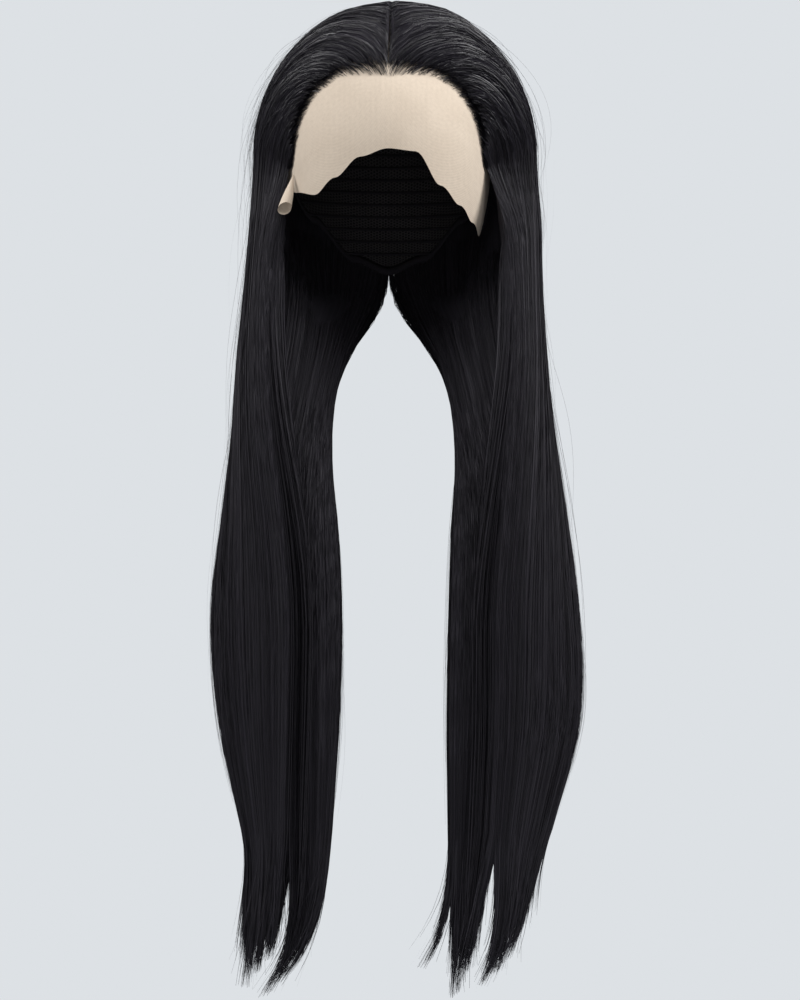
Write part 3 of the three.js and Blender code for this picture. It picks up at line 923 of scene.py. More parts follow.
def ribbon_object(
    name: str,
    paths: Array,
    lateral: Array,
    widths: Array,
    twist: Array,
    shade: Array,
    material: bpy.types.Material,
) -> bpy.types.Object:
    """Lay a narrow ribbon along each path, all in one piece.

    Args:
        name: Name of the piece.
        paths: Points of each strand, strands by points.
        lateral: Direction across each strand along the hair's surface, likewise.
        widths: Width at each point, likewise.
        twist: Angle by which each strand's ribbon is turned out of the surface.
        shade: Shade of each strand.
        material: Its finish.

    Returns:
        The piece.
    """
    count, steps = paths.shape[:2]
    ahead = unit(np.gradient(paths, axis=1))
    across = unit(lateral - ahead * (lateral * ahead).sum(-1, keepdims=True))
    turn = twist[:, None, None]
    across = across * np.cos(turn) + np.cross(ahead, across) * np.sin(turn)
    half = across * widths[..., None] / 2
    points = np.stack([paths - half, paths + half], 2).reshape(-1, 3)
    faces = (grid_faces(steps, 2)[None] + (np.arange(count) * steps * 2)[:, None, None]).reshape(-1, 4)
    columns = int(np.ceil(np.sqrt(count * 8)))
    bands = int(np.ceil(count / columns))
    place = np.arange(count)
    left, low = (place % columns) / columns, (place // columns) / bands
    u = left[:, None, None] + np.array([0.1, 0.9]) / columns + np.zeros((1, steps, 1))
    v = low[:, None, None] + np.linspace(0.02, 0.98, steps)[None, :, None] / bands
    chart = np.stack([u, v + np.zeros((1, 1, 2))], -1).reshape(-1, 2)
    return mesh_object(name, points, faces, {"OFBake": chart}, material, np.repeat(shade, steps * 2))


@dataclass
class Courses:
    """Where the strands of one piece run, on the grid of its form."""

    start_row: Array
    start_share: Array
    final: Array
    row: Array
    share: Array


@dataclass
class HairPiece:
    """One piece of hair: a dark inner mass and the strands that cover it."""

    form: HairForm
    strands: int
    seed: int
    clump_size: int = 24
    strand_width: float = 0.00046
    crown_points: int = 13
    fall_points: int = 15
    mass_lanes: int = 56
    mass_inset: float = 0.0024
    mass_margin: float = 0.012
    mass_edge: float = 0.085
    lock_core: float = 0.42
    lock_point: float = 0.423
    lock_fill: float = 0.86
    swept: float = 0.45
    ease: float = 0.13
    lane_step: float = 0.012
    bend_inset: float = 0.005
    overlap: float = 0.0045
    crossing: float = 0.6
    crossing_rows: float = 3.2
    crossing_reach: float = 0.0045
    crossing_lift: float = 0.0022

    def mass(self, finishes: Finishes) -> bpy.types.Object:
        """Build the inner mass with its tapering locks.

        Args:
            finishes: The wig's finishes.

        Returns:
            The mass.
        """
        form, front = self.form, self.form.place is Place.FRONT
        crown = np.concatenate([[0.15, 0.5, 1.1], np.arange(2, CROWN_ROWS, 1.0)])
        rows = np.concatenate([crown, np.arange(CROWN_ROWS, form.last_row, 2), [form.last_row]])
        row, lane = np.meshgrid(rows, np.linspace(0, 1, self.mass_lanes), indexing="ij")
        falling = smooth(CROWN_ROWS - 3, CROWN_ROWS + 8, row)
        if front:
            before = mix(drawn_back(row / CROWN_ROWS) + self.mass_margin, self.mass_edge, falling)
            low_edge = falling
        else:
            before = self.mass_edge * falling
            low_edge = smooth(CROWN_ROWS + 12, CROWN_ROWS + 20, row)
        lane = mix(before, 1 - self.mass_edge * low_edge, lane)
        inner, outer = form.both(row, lane)
        thick = np.linalg.norm(outer - inner, axis=-1, keepdims=True)
        ending = smooth(form.last_row - 7, form.last_row, row)[..., None]
        bend = smooth(18, 30, row)[..., None] * smooth(52, 38, row)[..., None]
        inset = np.minimum(self.mass_inset + self.bend_inset * bend, thick * mix(0.3, 0.45, bend))
        inset = inset + thick * 0.36 * ending
        if front:
            rim = smooth(0.07, 0.0, lane - before) * (1 - falling)
            inset = inset + thick * 0.45 * rim[..., None]
        inset = inset * unit(outer - inner)
        bodies = [self.closed(outer - inset, inner + inset * falling[..., None])]
        points, faces, chart = joined(bodies + [self.lock(lock) for lock in form.locks])
        return mesh_object(f"{form.name}_mass", points, faces, {"OFBake": chart}, finishes.mass)

    def closed(self, outer: Array, inner: Array) -> tuple[Array, Array, Array]:
        """Close two facing grids into one body.

        Args:
            outer: Rows by lanes of the outer face.
            inner: The same of the inner face.

        Returns:
            Corners, faces and map coordinates.
        """
        rows, lanes = outer.shape[:2]
        ring = np.concatenate([outer, inner[:, ::-1]], 1)
        columns = lanes * 2
        points = ring.reshape(-1, 3)
        row = np.arange(rows - 1)[:, None] * columns
        here = np.arange(columns)[None]
        ahead = (here + 1) % columns
        walls = np.stack([row + here, row + ahead, row + ahead + columns, row + here + columns], -1)
        walls = walls.reshape(-1, 4)
        cap = np.arange(lanes - 1)
        top = np.stack([cap, columns - 1 - cap, columns - 2 - cap, cap + 1], -1)
        base = (rows - 1) * columns
        bottom = (top + base)[:, ::-1]
        faces = np.concatenate([walls, top, bottom])
        if self.form.side is Side.LEFT:
            faces = faces[:, ::-1]
        return points, faces, grid_chart(rows, columns)

    def lock_axis(self, lock: Lock, share: Array) -> Array:
        """Find the middle line of a lock on the +X side."""
        root = self.form.fall[-1].drop * HAIR.fall - HAIR.lock_root
        x = mix(lock.root_x, lock.tip_x, share**2) * self.form.reach
        y = mix(lock.root_y, lock.tip_y, share) * HAIR.forward
        return np.stack([x, y, -mix(root, lock.tip * HAIR.fall, share)], -1)

    def lock(self, lock: Lock) -> tuple[Array, Array, Array]:
        """Build the core of one tapering lock, a little smaller than the lock itself.

        Args:
            lock: The lock.

        Returns:
            Corners, faces and map coordinates.
        """
        share = np.linspace(0, self.lock_core, 8)
        middle = self.lock_axis(lock, share)
        taper = np.sqrt(1 - (share / self.lock_point) ** 1.5) * mix(0.5, 0.75, smooth(0, 0.35, share))
        turn = np.linspace(0, 2 * np.pi, 15)[:-1]
        wide = lock.wide * HAIR.depth * taper * self.lock_fill
        thick = lock.thick * HAIR.depth * taper * self.lock_fill
        ring = np.zeros((len(share), len(turn), 3))
        ring[..., 0] = wide[:, None] * np.cos(turn)
        ring[..., 1] = thick[:, None] * np.sin(turn) + wide[:, None] * np.cos(turn) / 4
        ring = self.form.mirrored(ring + middle[:, None])
        half = len(turn) // 2
        return self.closed(ring[:, :half], ring[:, half:][:, ::-1])

    @property
    def clumps(self) -> int:
        """Number of clumps that the strands keep to."""
        return max(self.strands // self.clump_size, 1)

    def courses(self, clump: Array, rng: np.random.Generator) -> Courses:
        """Lead each strand from its root over the crown and down the tress.

        Args:
            clump: Number of the clump each strand is in.
            rng: Source of random numbers.

        Returns:
            Where the strands run.
        """
        form, count = self.form, self.strands
        clump_share = (np.arange(self.clumps) + rng.uniform(0, 1, self.clumps)) / self.clumps
        final = np.abs(clump_share[clump] + rng.normal(0, 0.011, count))
        final = np.where(final > 1, 2 - final, final)
        start_row, start_share = np.zeros(count), final.copy()
        if form.place is Place.FRONT:
            swept = self.swept
            start_row = np.where(final < swept, 1 - final / swept, 0.0)
            start_share = np.where(final < swept, 0.0, (final - swept) / (1 - swept))
            edge = drawn_back(start_row) * rng.uniform(0.55, 1.0, count)
            start_share = np.maximum(start_share, edge)
            final = np.maximum(final, rng.uniform(0.0, 0.03, count))
        inner_root = rng.random(count) < 0.3
        start_row = np.where(inner_root, mix(start_row, 0.8, rng.random(count) * 0.7), start_row)
        start_row = np.clip(start_row + rng.uniform(0, 0.005, count), 0, 0.97)
        root = start_row[:, None]
        along = root + (1 - root) * np.linspace(0, 1, self.crown_points)[None] ** 1.5
        swing = 1 - np.exp(-(along - root) / self.ease)
        swing = swing / (1 - np.exp(-(1 - root) / self.ease))
        share = start_share[:, None] + (final - start_share)[:, None] * swing
        steps = (np.arange(self.fall_points) + rng.uniform(0.15, 1.0, (count, 1))) / self.fall_points
        steps[:, -1] = 1.0
        row = np.concatenate([along * CROWN_ROWS, mix(CROWN_ROWS, form.last_row, steps)], 1)
        share = np.concatenate([share, np.repeat(final[:, None], self.fall_points, 1)], 1)
        phase, own = rng.uniform(0, 2 * np.pi, self.clumps)[clump], rng.uniform(0, 2 * np.pi, count)
        rate = rng.uniform(0.05, 0.11, self.clumps)[clump]
        grown = smooth(0, 22, row - root * CROWN_ROWS)
        share = share + grown * 0.005 * np.sin(row * rate[:, None] + phase[:, None])
        share = share + grown * 0.0025 * np.sin(row * 0.21 + own[:, None])
        return Courses(start_row, start_share, final, row, np.clip(share, 0, 1))

    def depths(self, course: Courses, thick: Array, rng: np.random.Generator) -> tuple[Array, Array]:
        """Sink the strands into the hair: most on its outer face, some on its inner or between.

        Args:
            course: Where they run.
            thick: Thickness of the hair at each point.
            rng: Source of random numbers.

        Returns:
            Depths from the inner face (0) to the outer (1), and which strands turn inwards.
        """
        row, count = course.row, len(thick)
        below = rng.exponential(0.0011, count) - 0.0003
        kind = rng.random(count)
        shell = 1 - below[:, None] / thick
        lining = np.abs(below)[:, None] / thick
        core = np.broadcast_to(rng.uniform(0.1, 0.9, count)[:, None], row.shape)
        turn_in = smooth(CROWN_ROWS - 2, CROWN_ROWS + 12, row)
        turned = kind >= (0.5 if self.form.place is Place.FRONT else 0.4)
        depth = np.where(turned[:, None], mix(shell, lining, turn_in), shell)
        depth = np.where(kind[:, None] > 0.9, mix(shell, core, turn_in), depth)
        rooted = np.clip((row - course.start_row[:, None] * CROWN_ROWS) / 0.5, 0, 1)
        return np.clip(depth, 0.02, 1.03) * mix(0.5, 1.0, np.sin(np.pi / 2 * rooted)), turned

    def rounded(self, points: Array, outward: Array, row: Array) -> Array:
        """Round the strands where they leave the head.

        Args:
            points: Points of the strands.
            outward: Directions out of the hair.
            row: Rows of the points.

        Returns:
            The moved points.
        """
        bend = 0.35 * (smooth(16, 27, row) * smooth(62, 44, row))[:, 1:-1, None]
        eased = points.copy()
        for _ in range(3):
            halfway = (eased[:, :-2] + eased[:, 2:]) / 2
            eased[:, 1:-1] = mix(eased[:, 1:-1], halfway, bend)
        sunk = np.minimum(((eased - points) * outward).sum(-1, keepdims=True), 0)
        return eased - outward * sunk * 0.5

    def overlaid(self, points: Array, course: Courses, turned: Array, rng: np.random.Generator) -> None:
        """Let strands cross the parting, overlap the piece behind and close the nape.

        Args:
            points: Points of the strands, which are moved.
            course: Where they run.
            turned: Which strands turn inwards.
            rng: Source of random numbers.
        """
        sign, row, final, count = self.form.side.value, course.row, course.final, len(points)
        front = self.form.place is Place.FRONT
        over = smooth(0.5, 0.85, course.start_share) if front else smooth(0.8, 0.4, final)
        over = over * (course.start_row < 0.02) * (rng.random(count) < self.crossing)
        near = over[:, None] * smooth(self.crossing_rows, 0, row)
        points[..., 0] -= sign * near * rng.uniform(0, self.crossing_reach, (count, 1))
        points[..., 2] += near * self.crossing_lift
        if front:
            inward = np.minimum(rng.exponential(self.overlap, count), 3 * self.overlap)
            inward = np.where(turned & (final < 0.4), inward, 0)[:, None]
            points[..., 0] -= sign * inward * smooth(44, 70, row)
            points[..., 1] -= 0.25 * inward * smooth(44, 70, row)
        else:
            nape = smooth(28, 34, row) * smooth(52, 43, row) * smooth(0.78, 0.98, course.share)
            points[..., 0] *= 1 - nape * (1 - 0.85 * rng.random((count, 1)) ** 1.5)

    def paths(self) -> tuple[Array, Array, Array]:
        """Lay out the strands from their roots to their tips.

        Returns:
            Points and directions across, strands by points, and each strand's shade.
        """
        form, rng = self.form, np.random.default_rng(self.seed)
        clump = rng.integers(0, self.clumps, self.strands)
        course = self.courses(clump, rng)
        row, share = course.row, course.share
        inner, outer = form.both(row, share)
        thick = np.maximum(np.linalg.norm(outer - inner, axis=-1), 1e-5)
        depth, turned = self.depths(course, thick, rng)
        points = self.rounded(mix(inner, outer, depth[..., None]), unit(outer - inner), row)
        self.overlaid(points, course, turned, rng)
        right = form.at(row, np.minimum(share + self.lane_step, 1), depth)
        lateral = right - form.at(row, np.maximum(share - self.lane_step, 0), depth)
        tails = self.tails(points[:, -2:], clump, rng)
        points = np.concatenate([points, tails], 1)
        lateral = np.concatenate([lateral, np.repeat(lateral[:, -1:], TAIL_POINTS, 1)], 1)
        shade = (0.35 * rng.random(self.clumps)[clump] + 0.65 * rng.random(self.strands)) ** 1.8
        return points, lateral, shade

    def tails(self, ends: Array, clump: Array, rng: np.random.Generator) -> Array:
        """Carry strands on from the last section into the tapering locks.

        Args:
            ends: Last two points of each strand.
            clump: Number of the clump each strand is in.
            rng: Source of random numbers.

        Returns:
            The points that follow.
        """
        form, count = self.form, len(ends)
        flip, groups = np.array([form.side.value, 1, 1]), clump.max() + 1
        flat = ends[:, 1] * flip
        run = (ends[:, 1] - ends[:, 0]) * flip
        slope = np.clip(run[:, 0] / np.minimum(run[:, 2], -0.001), -0.5, 0.5)
        root, tip, drop, bend = np.array([astuple(wisp) for wisp in form.wisps]).T
        gap = np.abs(flat[:, None, 0] - root * form.reach)
        drawn = rng.normal(0, 0.0025, (groups, len(form.wisps)))[clump]
        choice = np.argmin(gap + drawn, 1)
        ragged = 0.46 * rng.random(count) ** 2.0 + 0.32 * rng.random(groups)[clump] ** 1.2
        end = np.clip(1.0 - ragged - (rng.random(count) < 0.12) * 0.3 * rng.random(count), 0.15, 1)
        drift = rng.normal(0, 0.0018, (groups, 2))[clump]
        lot = rng.random(count)
        loose = np.where(lot < 0.02, 0.011, np.where(lot < 0.1, 0.0052, 0.0009))
        own = rng.normal(0, 1, (count, 2)) * loose[:, None]
        u = np.linspace(0, 1, TAIL_POINTS + 1)[1:][None] * end[:, None]
        taper = mix(0.24, 1.0, (1 - np.clip(u, 0, 1) ** 1.2) ** 0.85)
        close = mix(0.04, 1.0, (1 - np.clip(u, 0, 1) ** 1.1) ** 1.1)
        group = choice * groups + clump
        size = np.maximum(np.bincount(group), 1)
        middle = np.stack([np.bincount(group, flat[:, axis]) / size for axis in (0, 1)], -1)[group]
        reach = form.reach * u ** bend[choice][:, None]
        bent = (tip - root)[choice][:, None] * reach
        off = middle[:, 0] - root[choice] * form.reach
        points = np.zeros((count, TAIL_POINTS, 3))
        points[..., 0] = (root[choice] * form.reach)[:, None] + bent + off[:, None] * taper
        points[..., 0] += (flat[:, 0] - middle[:, 0])[:, None] * close
        centre = -0.7 * HAIR.forward
        points[..., 1] = centre + (middle[:, 1] - centre)[:, None] * taper
        points[..., 1] += (flat[:, 1] - middle[:, 1])[:, None] * close
        points[..., :2] += (drift + own)[:, None] * (u**1.7)[..., None]
        points[..., 2] = mix(flat[:, 2][:, None], -drop[choice][:, None] * HAIR.fall, u)
        points[..., 0] += slope[:, None] * (points[..., 2] - flat[:, 2][:, None]) * (1 - u) ** 2
        return points * flip

    def strand_piece(self, finishes: Finishes) -> bpy.types.Object:
        """Build the strands as narrow ribbons.

        Args:
            finishes: The wig's finishes.

        Returns:
            The strands as one piece.
        """
        paths, lateral, shade = self.paths()
        paths = HEAD.pushed_clear(paths, HAIR_OFFSET)
        rng = np.random.default_rng(self.seed + 1)
        at = np.linspace(0, 1, paths.shape[1])[None]
        taper = np.minimum(smooth(-0.05, 0.08, at), mix(0.3, 1.0, smooth(1.0, 0.92, at)))
        width = self.strand_width * rng.uniform(0.7, 1.3, (len(paths), 1)) * taper
        twist = rng.normal(0, 0.6, len(paths))
        name = f"{self.form.name}_strands"
        return ribbon_object(name, paths, lateral, width, twist, shade, finishes.strands)

    def build(self, finishes: Finishes) -> list[bpy.types.Object]:
        """Build the piece's mass and strands, and put them on the wig's body."""
        pieces = [self.mass(finishes), self.strand_piece(finishes)]
        for piece in pieces:
            settle(piece, "hair", self.form.name)
        return pieces


def settle(piece: bpy.types.Object, slot: str, *nodes: str) -> None:
    """Put a piece on the wig's body, and hide the solids that it stands for.

    Args:
        piece: The piece.
        slot: Material slot that its finish belongs to; not used.
        nodes: Solids that it stands for.
    """
    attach(piece, "root")
    if nodes:
        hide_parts(*nodes)
    log.info("%s: %d faces", piece.name, len(piece.data.polygons))


@dataclass
class HairlineFringe:
    """Single hairs knotted into the lace before the hairline, leaning up and outwards."""

    forms: Sequence[HairForm]
    count: int = 1300
    band: float = 0.135
    points: int = 6
    width: float = 0.00052
    seed: int = 71

    def build(self, finishes: Finishes) -> bpy.types.Object:
        """Build the fringe.

        Args:
            finishes: The wig's finishes.

        Returns:
            The piece.
        """
        rng, t, paths = np.random.default_rng(self.seed), np.linspace(0, 1, self.points)[None], []
        for form in self.forms:
            start = (np.arange(self.count) + rng.random(self.count)) / self.count * 0.985
            fade = mix(1.0, 0.5, smooth(0.7, 1.0, start))
            ahead = self.band * fade * (0.1 + rng.random(self.count) ** 1.2) - drawn_back(start)
            reach = rng.uniform(0.08, 0.17, self.count)
            share = -ahead[:, None] + reach[:, None] * t
            lean = rng.normal(0.11, 0.015, self.count) * smooth(-0.08, 0.12, start)
            along = start[:, None] + lean[:, None] * t**1.3
            toward = between(hairline(along), behind_ear(along), share[..., None])
            lift = np.sin(t * np.pi / 2) * rng.uniform(0.0012, 0.0028, self.count)[:, None]
            paths.append(form.mirrored(HEAD.surface(toward, LACE_WALL + THREAD_GAP + lift)))
        path = np.concatenate(paths)
        lateral = np.gradient(path, axis=1)[..., [1, 0, 2]] * np.array([1, -1, 0.0])
        width = self.width * rng.uniform(0.7, 1.2, (len(path), 1)) * mix(0.7, 1.0, t)
        twist, shade = rng.normal(0, 0.5, len(path)), rng.random(len(path)) * 0.5
        made = ribbon_object("hairline_fringe", path, lateral, width, twist, shade, finishes.strands)
        settle(made, "hair")
        return made


@dataclass
class Flyaways:
    """Loose fine hairs that stand off the outlines of both tresses."""

    forms: Sequence[HairForm]
    count: int = 210
    points: int = 18
    width: float = 0.00024
    seed: int = 93

    def build(self, finishes: Finishes) -> bpy.types.Object:
        """Build the loose hairs.

        Args:
            finishes: The wig's finishes.

        Returns:
            The piece.
        """
        rng, t = np.random.default_rng(self.seed), np.linspace(0, 1, self.points)[None]
        paths, laterals = [], []
        for form in self.forms:
            front = form.place is Place.FRONT
            share = rng.beta(1.2, 4, self.count)
            share = np.where(rng.random(self.count) < (0.7 if front else 0.4), 1 - share, share)
            start = rng.uniform(2, form.last_row * 0.9, self.count)
            start = np.where(rng.random(self.count) < 0.25, form.last_row * 0.84, start)
            if front:
                start = np.where(share < 0.5, np.maximum(start, CROWN_ROWS - 4), start)
            length = np.minimum(rng.uniform(12, 40, self.count), form.last_row - 0.01 - start)
            length = length * rng.uniform(0.6, 1.0, self.count)
            row = start[:, None] + length[:, None] * t
            lanes = np.repeat(share[:, None], self.points, 1)
            base = form.at(row, lanes, np.ones_like(row))
            out = unit(base - form.at(row, lanes, np.zeros_like(row)))
            far = np.minimum(0.0006 + rng.exponential(0.0034, self.count), 0.014)
            off = far[:, None] * np.sin(t * np.pi * 0.75) ** 1.5
            paths.append(base + out * off[..., None])
            laterals.append(np.cross(out, unit(np.gradient(base, axis=1))))
        path, lateral = np.concatenate(paths), np.concatenate(laterals)
        width = self.width * np.ones((len(path), 1)) * mix(1.0, 0.3, t)
        twist, shade = rng.uniform(-1.2, 1.2, len(path)), rng.random(len(path))
        made = ribbon_object("flyaway_hairs", path, lateral, width, twist, shade, finishes.strands)
        settle(made, "hair")
        return made


@dataclass
class EdgeLine:
    """The cut edge of lace and cap, as its drop by azimuth on either side."""

    nape_drop: float = 0.190
    azimuth: tuple[float, ...] = (0, 15, 30, 45, 60, 76, 88, 104, 130, 155, 180)
    right: tuple[float, ...] = (0.565, 0.595, 0.67, 0.73, 0.715, 0.7, 0.69, 0.66, 0.8, 0.95, 1)
    left: tuple[float, ...] = (0.565, 0.575, 0.7, 0.77, 0.83, 0.875, 0.74, 0.66, 0.8, 0.95, 1)

    def drop(self, azimuth: Array) -> Array:
        """Give the edge's drop below the crown.

        Args:
            azimuth: Angles from the front, right round the head through +X.

        Returns:
            The drops.
        """
        turned = np.degrees(azimuth) % 360
        folded = np.minimum(turned, 360 - turned)
        place = np.interp(folded, self.azimuth, np.arange(len(self.azimuth)))
        low = place.astype(int)
        place = low + smooth(0, 1, place - low)
        counts = np.arange(len(self.azimuth))
        right, left = (np.interp(place, counts, side) for side in (self.right, self.left))
        return np.where(turned <= 180, left, right) * self.nape_drop


@dataclass
class DomeCloth:
    """A cloth on the head, cut from a dome by the seam between lace and cap."""

    edge: EdgeLine = field(default_factory=EdgeLine)
    columns: int = 216
    rows: int = 64

    def sheet(
        self, name: str, front: bool, outside: float, material: bpy.types.Material
    ) -> bpy.types.Object:
        """Build one sheet of cloth on its side of the seam.

        Args:
            name: Name of the piece.
            front: Whether it lies before the seam.
            outside: How far it lies outside the head.
            material: Its finish.

        Returns:
            The piece.
        """
        azimuth = np.linspace(0, 2 * np.pi, self.columns + 1)
        edge = np.arccos(HEAD.at_drop(azimuth, self.edge.drop(azimuth))[..., 2])
        share = np.linspace(0.002, 1, self.rows)[:, None]
        turn = np.broadcast_to(azimuth, (self.rows, self.columns + 1))
        toward = direction(turn, edge[None] * share)
        points = HEAD.surface(toward, outside + self.wrinkles(toward, front))
        metres = np.stack([points[..., 0], points[..., 2] + 0.6 * points[..., 1]], -1)
        around = np.stack([turn / (2 * np.pi), share * np.ones_like(turn)], -1)
        faces = grid_faces(self.rows, self.columns + 1)
        made = mesh_object(
            name,
            points.reshape(-1, 3),
            faces,
            {"OFBake": around.reshape(-1, 2), "metres": metres.reshape(-1, 2)},
            material,
        )
        body = bmesh.new()
        body.from_mesh(made.data)
        bmesh.ops.remove_doubles(body, verts=body.verts, dist=1e-7)
        bmesh.ops.bisect_plane(
            body,
            geom=[*body.verts, *body.edges, *body.faces],
            plane_co=(0, SEAM_Y + (-1 if front else 1) * PIECE_GAP / 2, 0),
            plane_no=(0, 1, 0),
            clear_outer=front,
            clear_inner=not front,
        )
        body.to_mesh(made.data)
        body.free()
        made.data.shade_smooth()
        return made

    def wrinkles(self, toward: Array, front: bool) -> Array:
        """Raise the faint upright wrinkles of the lace over the forehead.

        Args:
            toward: Directions of the cloth's points.
            front: Whether the cloth is the lace.

        Returns:
            Heights.
        """
        height = np.zeros(toward.shape[:-1])
        if not front:
            return height
        place = HEAD.surface(toward, 0.0005)
        x, z = place[..., 0], place[..., 2]
        for middle, top, low, wide, rise in (
            (-0.004, -0.056, -0.085, 0.0022, 0.0004),
            (0.003, -0.058, -0.1, 0.0016, 0.00025),
            (0.031, -0.058, -0.085, 0.0028, 0.00035),
            (-0.034, -0.07, -0.1, 0.004, 0.0002),
        ):
            bend = x - middle - 0.12 * (z - top)
            span = smooth(top + 0.01, top - 0.006, z) * smooth(low - 0.012, low + 0.008, z)
            ahead = toward[..., 1] < 0
            height += rise * np.exp(-((bend / wide) ** 2)) * span * ahead
        return height


@dataclass
class LaceFront:
    """The sheer lace before the seam, with its cut edge and the rolled tab by the right ear."""

    cloth: DomeCloth = field(default_factory=DomeCloth)
    tab_azimuth: float = 64.0
    tab_drop: float = 0.121
    tab_width: float = 0.024
    tab_length: float = 0.03
    mouth: tuple[float, float, float] = (0.0064, -0.0105, -0.0225)
    mouth_wide: float = 0.0052
    mouth_deep: float = 0.0032
    mouth_lip: float = 0.0085
    mouth_turn: tuple[float, float] = (-70.0, 235.0)
    flat_width: float = 0.29
    flat_length: float = 0.16
    flat_area: float = 0.029

    def build(self, finishes: Finishes) -> list[bpy.types.Object]:
        """Build the lace and its tab, and put them on the wig's body.

        Args:
            finishes: The wig's finishes.

        Returns:
            The pieces.
        """
        lace = self.cloth.sheet("lace_net", True, LACE_WALL / 2, finishes.lace)
        tab = self.tab(finishes)
        for piece in (lace, tab):
            settle(piece, "lace", "lace_front")
        return [lace, tab]

    def tab(self, finishes: Finishes) -> bpy.types.Object:
        """Build the tab: it flares off the head like a small cone, open below and before.

        Args:
            finishes: The wig's finishes.

        Returns:
            The tab.
        """
        apex = HEAD.surface(HEAD.at_drop(np.radians(self.tab_azimuth), self.tab_drop), LACE_WALL / 2)
        mouth = np.array(self.mouth)
        turn = np.radians(np.linspace(*self.mouth_turn, 33))
        lip = -self.mouth_lip * (1 - np.cos(turn)) / 2 - self.mouth_wide * 0.2 * np.sin(turn)
        rim = np.stack([self.mouth_wide * np.sin(turn), -self.mouth_deep * np.cos(turn), lip], -1)
        down = np.linspace(0.04, 1, 20)[:, None, None]
        points = apex + mouth * down + rim * np.sin(down * np.pi / 2) ** 1.2
        points = points * np.array([-1, 1, 1])
        rows, columns = points.shape[:2]
        chart = grid_chart(rows, columns)
        charts = {"OFBake": chart, "metres": chart * (self.tab_width, self.tab_length)}
        faces = grid_faces(rows, columns, flip=True)
        return mesh_object("lace_tab", points.reshape(-1, 3), faces, charts, finishes.lace)


@dataclass
class WigCap:
    """The stretch cap behind the seam, with the tracks that carry the hair."""

    cloth: DomeCloth = field(default_factory=DomeCloth)
    track_spacing: float = 0.0095
    track_height: float = 0.0022
    binding_height: float = 0.007
    track_thick: float = 0.0006
    first_track: float = 0.03
    flat_width: float = 0.33
    flat_length: float = 0.24
    flat_area: float = 0.048

    def build(self, finishes: Finishes) -> list[bpy.types.Object]:
        """Build the cap, its tracks and its binding, and put them on the wig's body.

        Args:
            finishes: The wig's finishes.

        Returns:
            The pieces.
        """
        net = self.cloth.sheet("cap_net", False, CAP_WALL * 0.55, finishes.cap)
        tracks, binding = self.tracks(finishes), self.binding(finishes)
        for piece in (net, tracks, binding):
            settle(piece, "cap_net", "wig_cap")
        return [net, tracks, binding]

    def band(self, azimuth: Array, drop: Array, outside: float) -> tuple[Array, Array]:
        """Lay a thin closed band round the back of the head.

        Args:
            azimuth: Angles along the band.
            drop: Drops of its upper and lower edge, two rows.
            outside: Offset of its outer face.

        Returns:
            Corners and faces.
        """
        middle, half = (drop[0] + drop[1]) / 2, (THREAD_GAP + outside) / 2
        corners = ((drop[0], half), (middle, outside), (drop[1], half), (middle, THREAD_GAP))
        ring = np.stack([HEAD.surface(HEAD.at_drop(azimuth, level), off) for level, off in corners], 1)
        count = len(azimuth)
        row = np.arange(count - 1)[:, None] * 4
        here = np.arange(4)[None]
        ahead = (here + 1) % 4
        faces = np.stack([row + here, row + 4 + here, row + 4 + ahead, row + ahead], -1)
        last = (count - 1) * 4
        ends = np.array([[0, 1, 2, 3], [last + 3, last + 2, last + 1, last]])
        return ring.reshape(-1, 3), np.concatenate([faces.reshape(-1, 4), ends])

    def banded(
        self, name: str, bands: Sequence[tuple[Array, Array]], material: bpy.types.Material
    ) -> bpy.types.Object:
        """Join bands into one piece.

        Args:
            name: Name of the piece.
            bands: Corners and faces of each.
            material: Its finish.

        Returns:
            The piece.
        """
        bodies = []
        for number, (corners, sides) in enumerate(bands):
            place = np.arange(len(corners))
            u = (place // 4) / (len(corners) // 4)
            v = (number + 0.1 + 0.2 * (place % 4)) / len(bands)
            bodies.append((corners, sides, np.stack([u, v], -1)))
        points, faces, chart = joined(bodies)
        return mesh_object(name, points, faces, {"OFBake": chart}, material)

    def tracks(self, finishes: Finishes) -> bpy.types.Object:
        """Build the rows of tracks that the hair is sewn to, on the inside of the cap.

        Args:
            finishes: The wig's finishes.

        Returns:
            The piece.
        """
        bands, azimuth = [], np.linspace(0, 2 * np.pi, 721)
        for drop in np.arange(self.first_track, self.cloth.edge.nape_drop - 0.008, self.track_spacing):
            points = HEAD.surface(HEAD.at_drop(azimuth, drop), 0.0)
            held = (points[:, 1] > SEAM_Y + 0.003) & (self.cloth.edge.drop(azimuth) > drop + 0.005)
            chosen = azimuth[held][::3]
            if len(chosen) >= 8:
                upper = np.full(len(chosen), drop)
                spread = np.stack([upper, upper + self.track_height])
                bands.append(self.band(chosen, spread, self.track_thick))
        return self.banded("cap_tracks", bands, finishes.binding)

    def binding(self, finishes: Finishes) -> bpy.types.Object:
        """Build the elastic binding along the cap's lower edge.

        Args:
            finishes: The wig's finishes.

        Returns:
            The piece.
        """
        azimuth = np.linspace(np.radians(60), np.radians(300), 481)
        edge = self.cloth.edge.drop(azimuth)
        points = HEAD.surface(HEAD.at_drop(azimuth, edge), 0.0)
        behind = points[:, 1] > SEAM_Y + 0.001
        azimuth, edge = azimuth[behind], edge[behind]
        spread = np.stack([edge - self.binding_height, edge - 0.0002])
        band = self.band(azimuth, spread, CAP_WALL - THREAD_GAP)
        return self.banded("cap_binding", [band], finishes.binding)


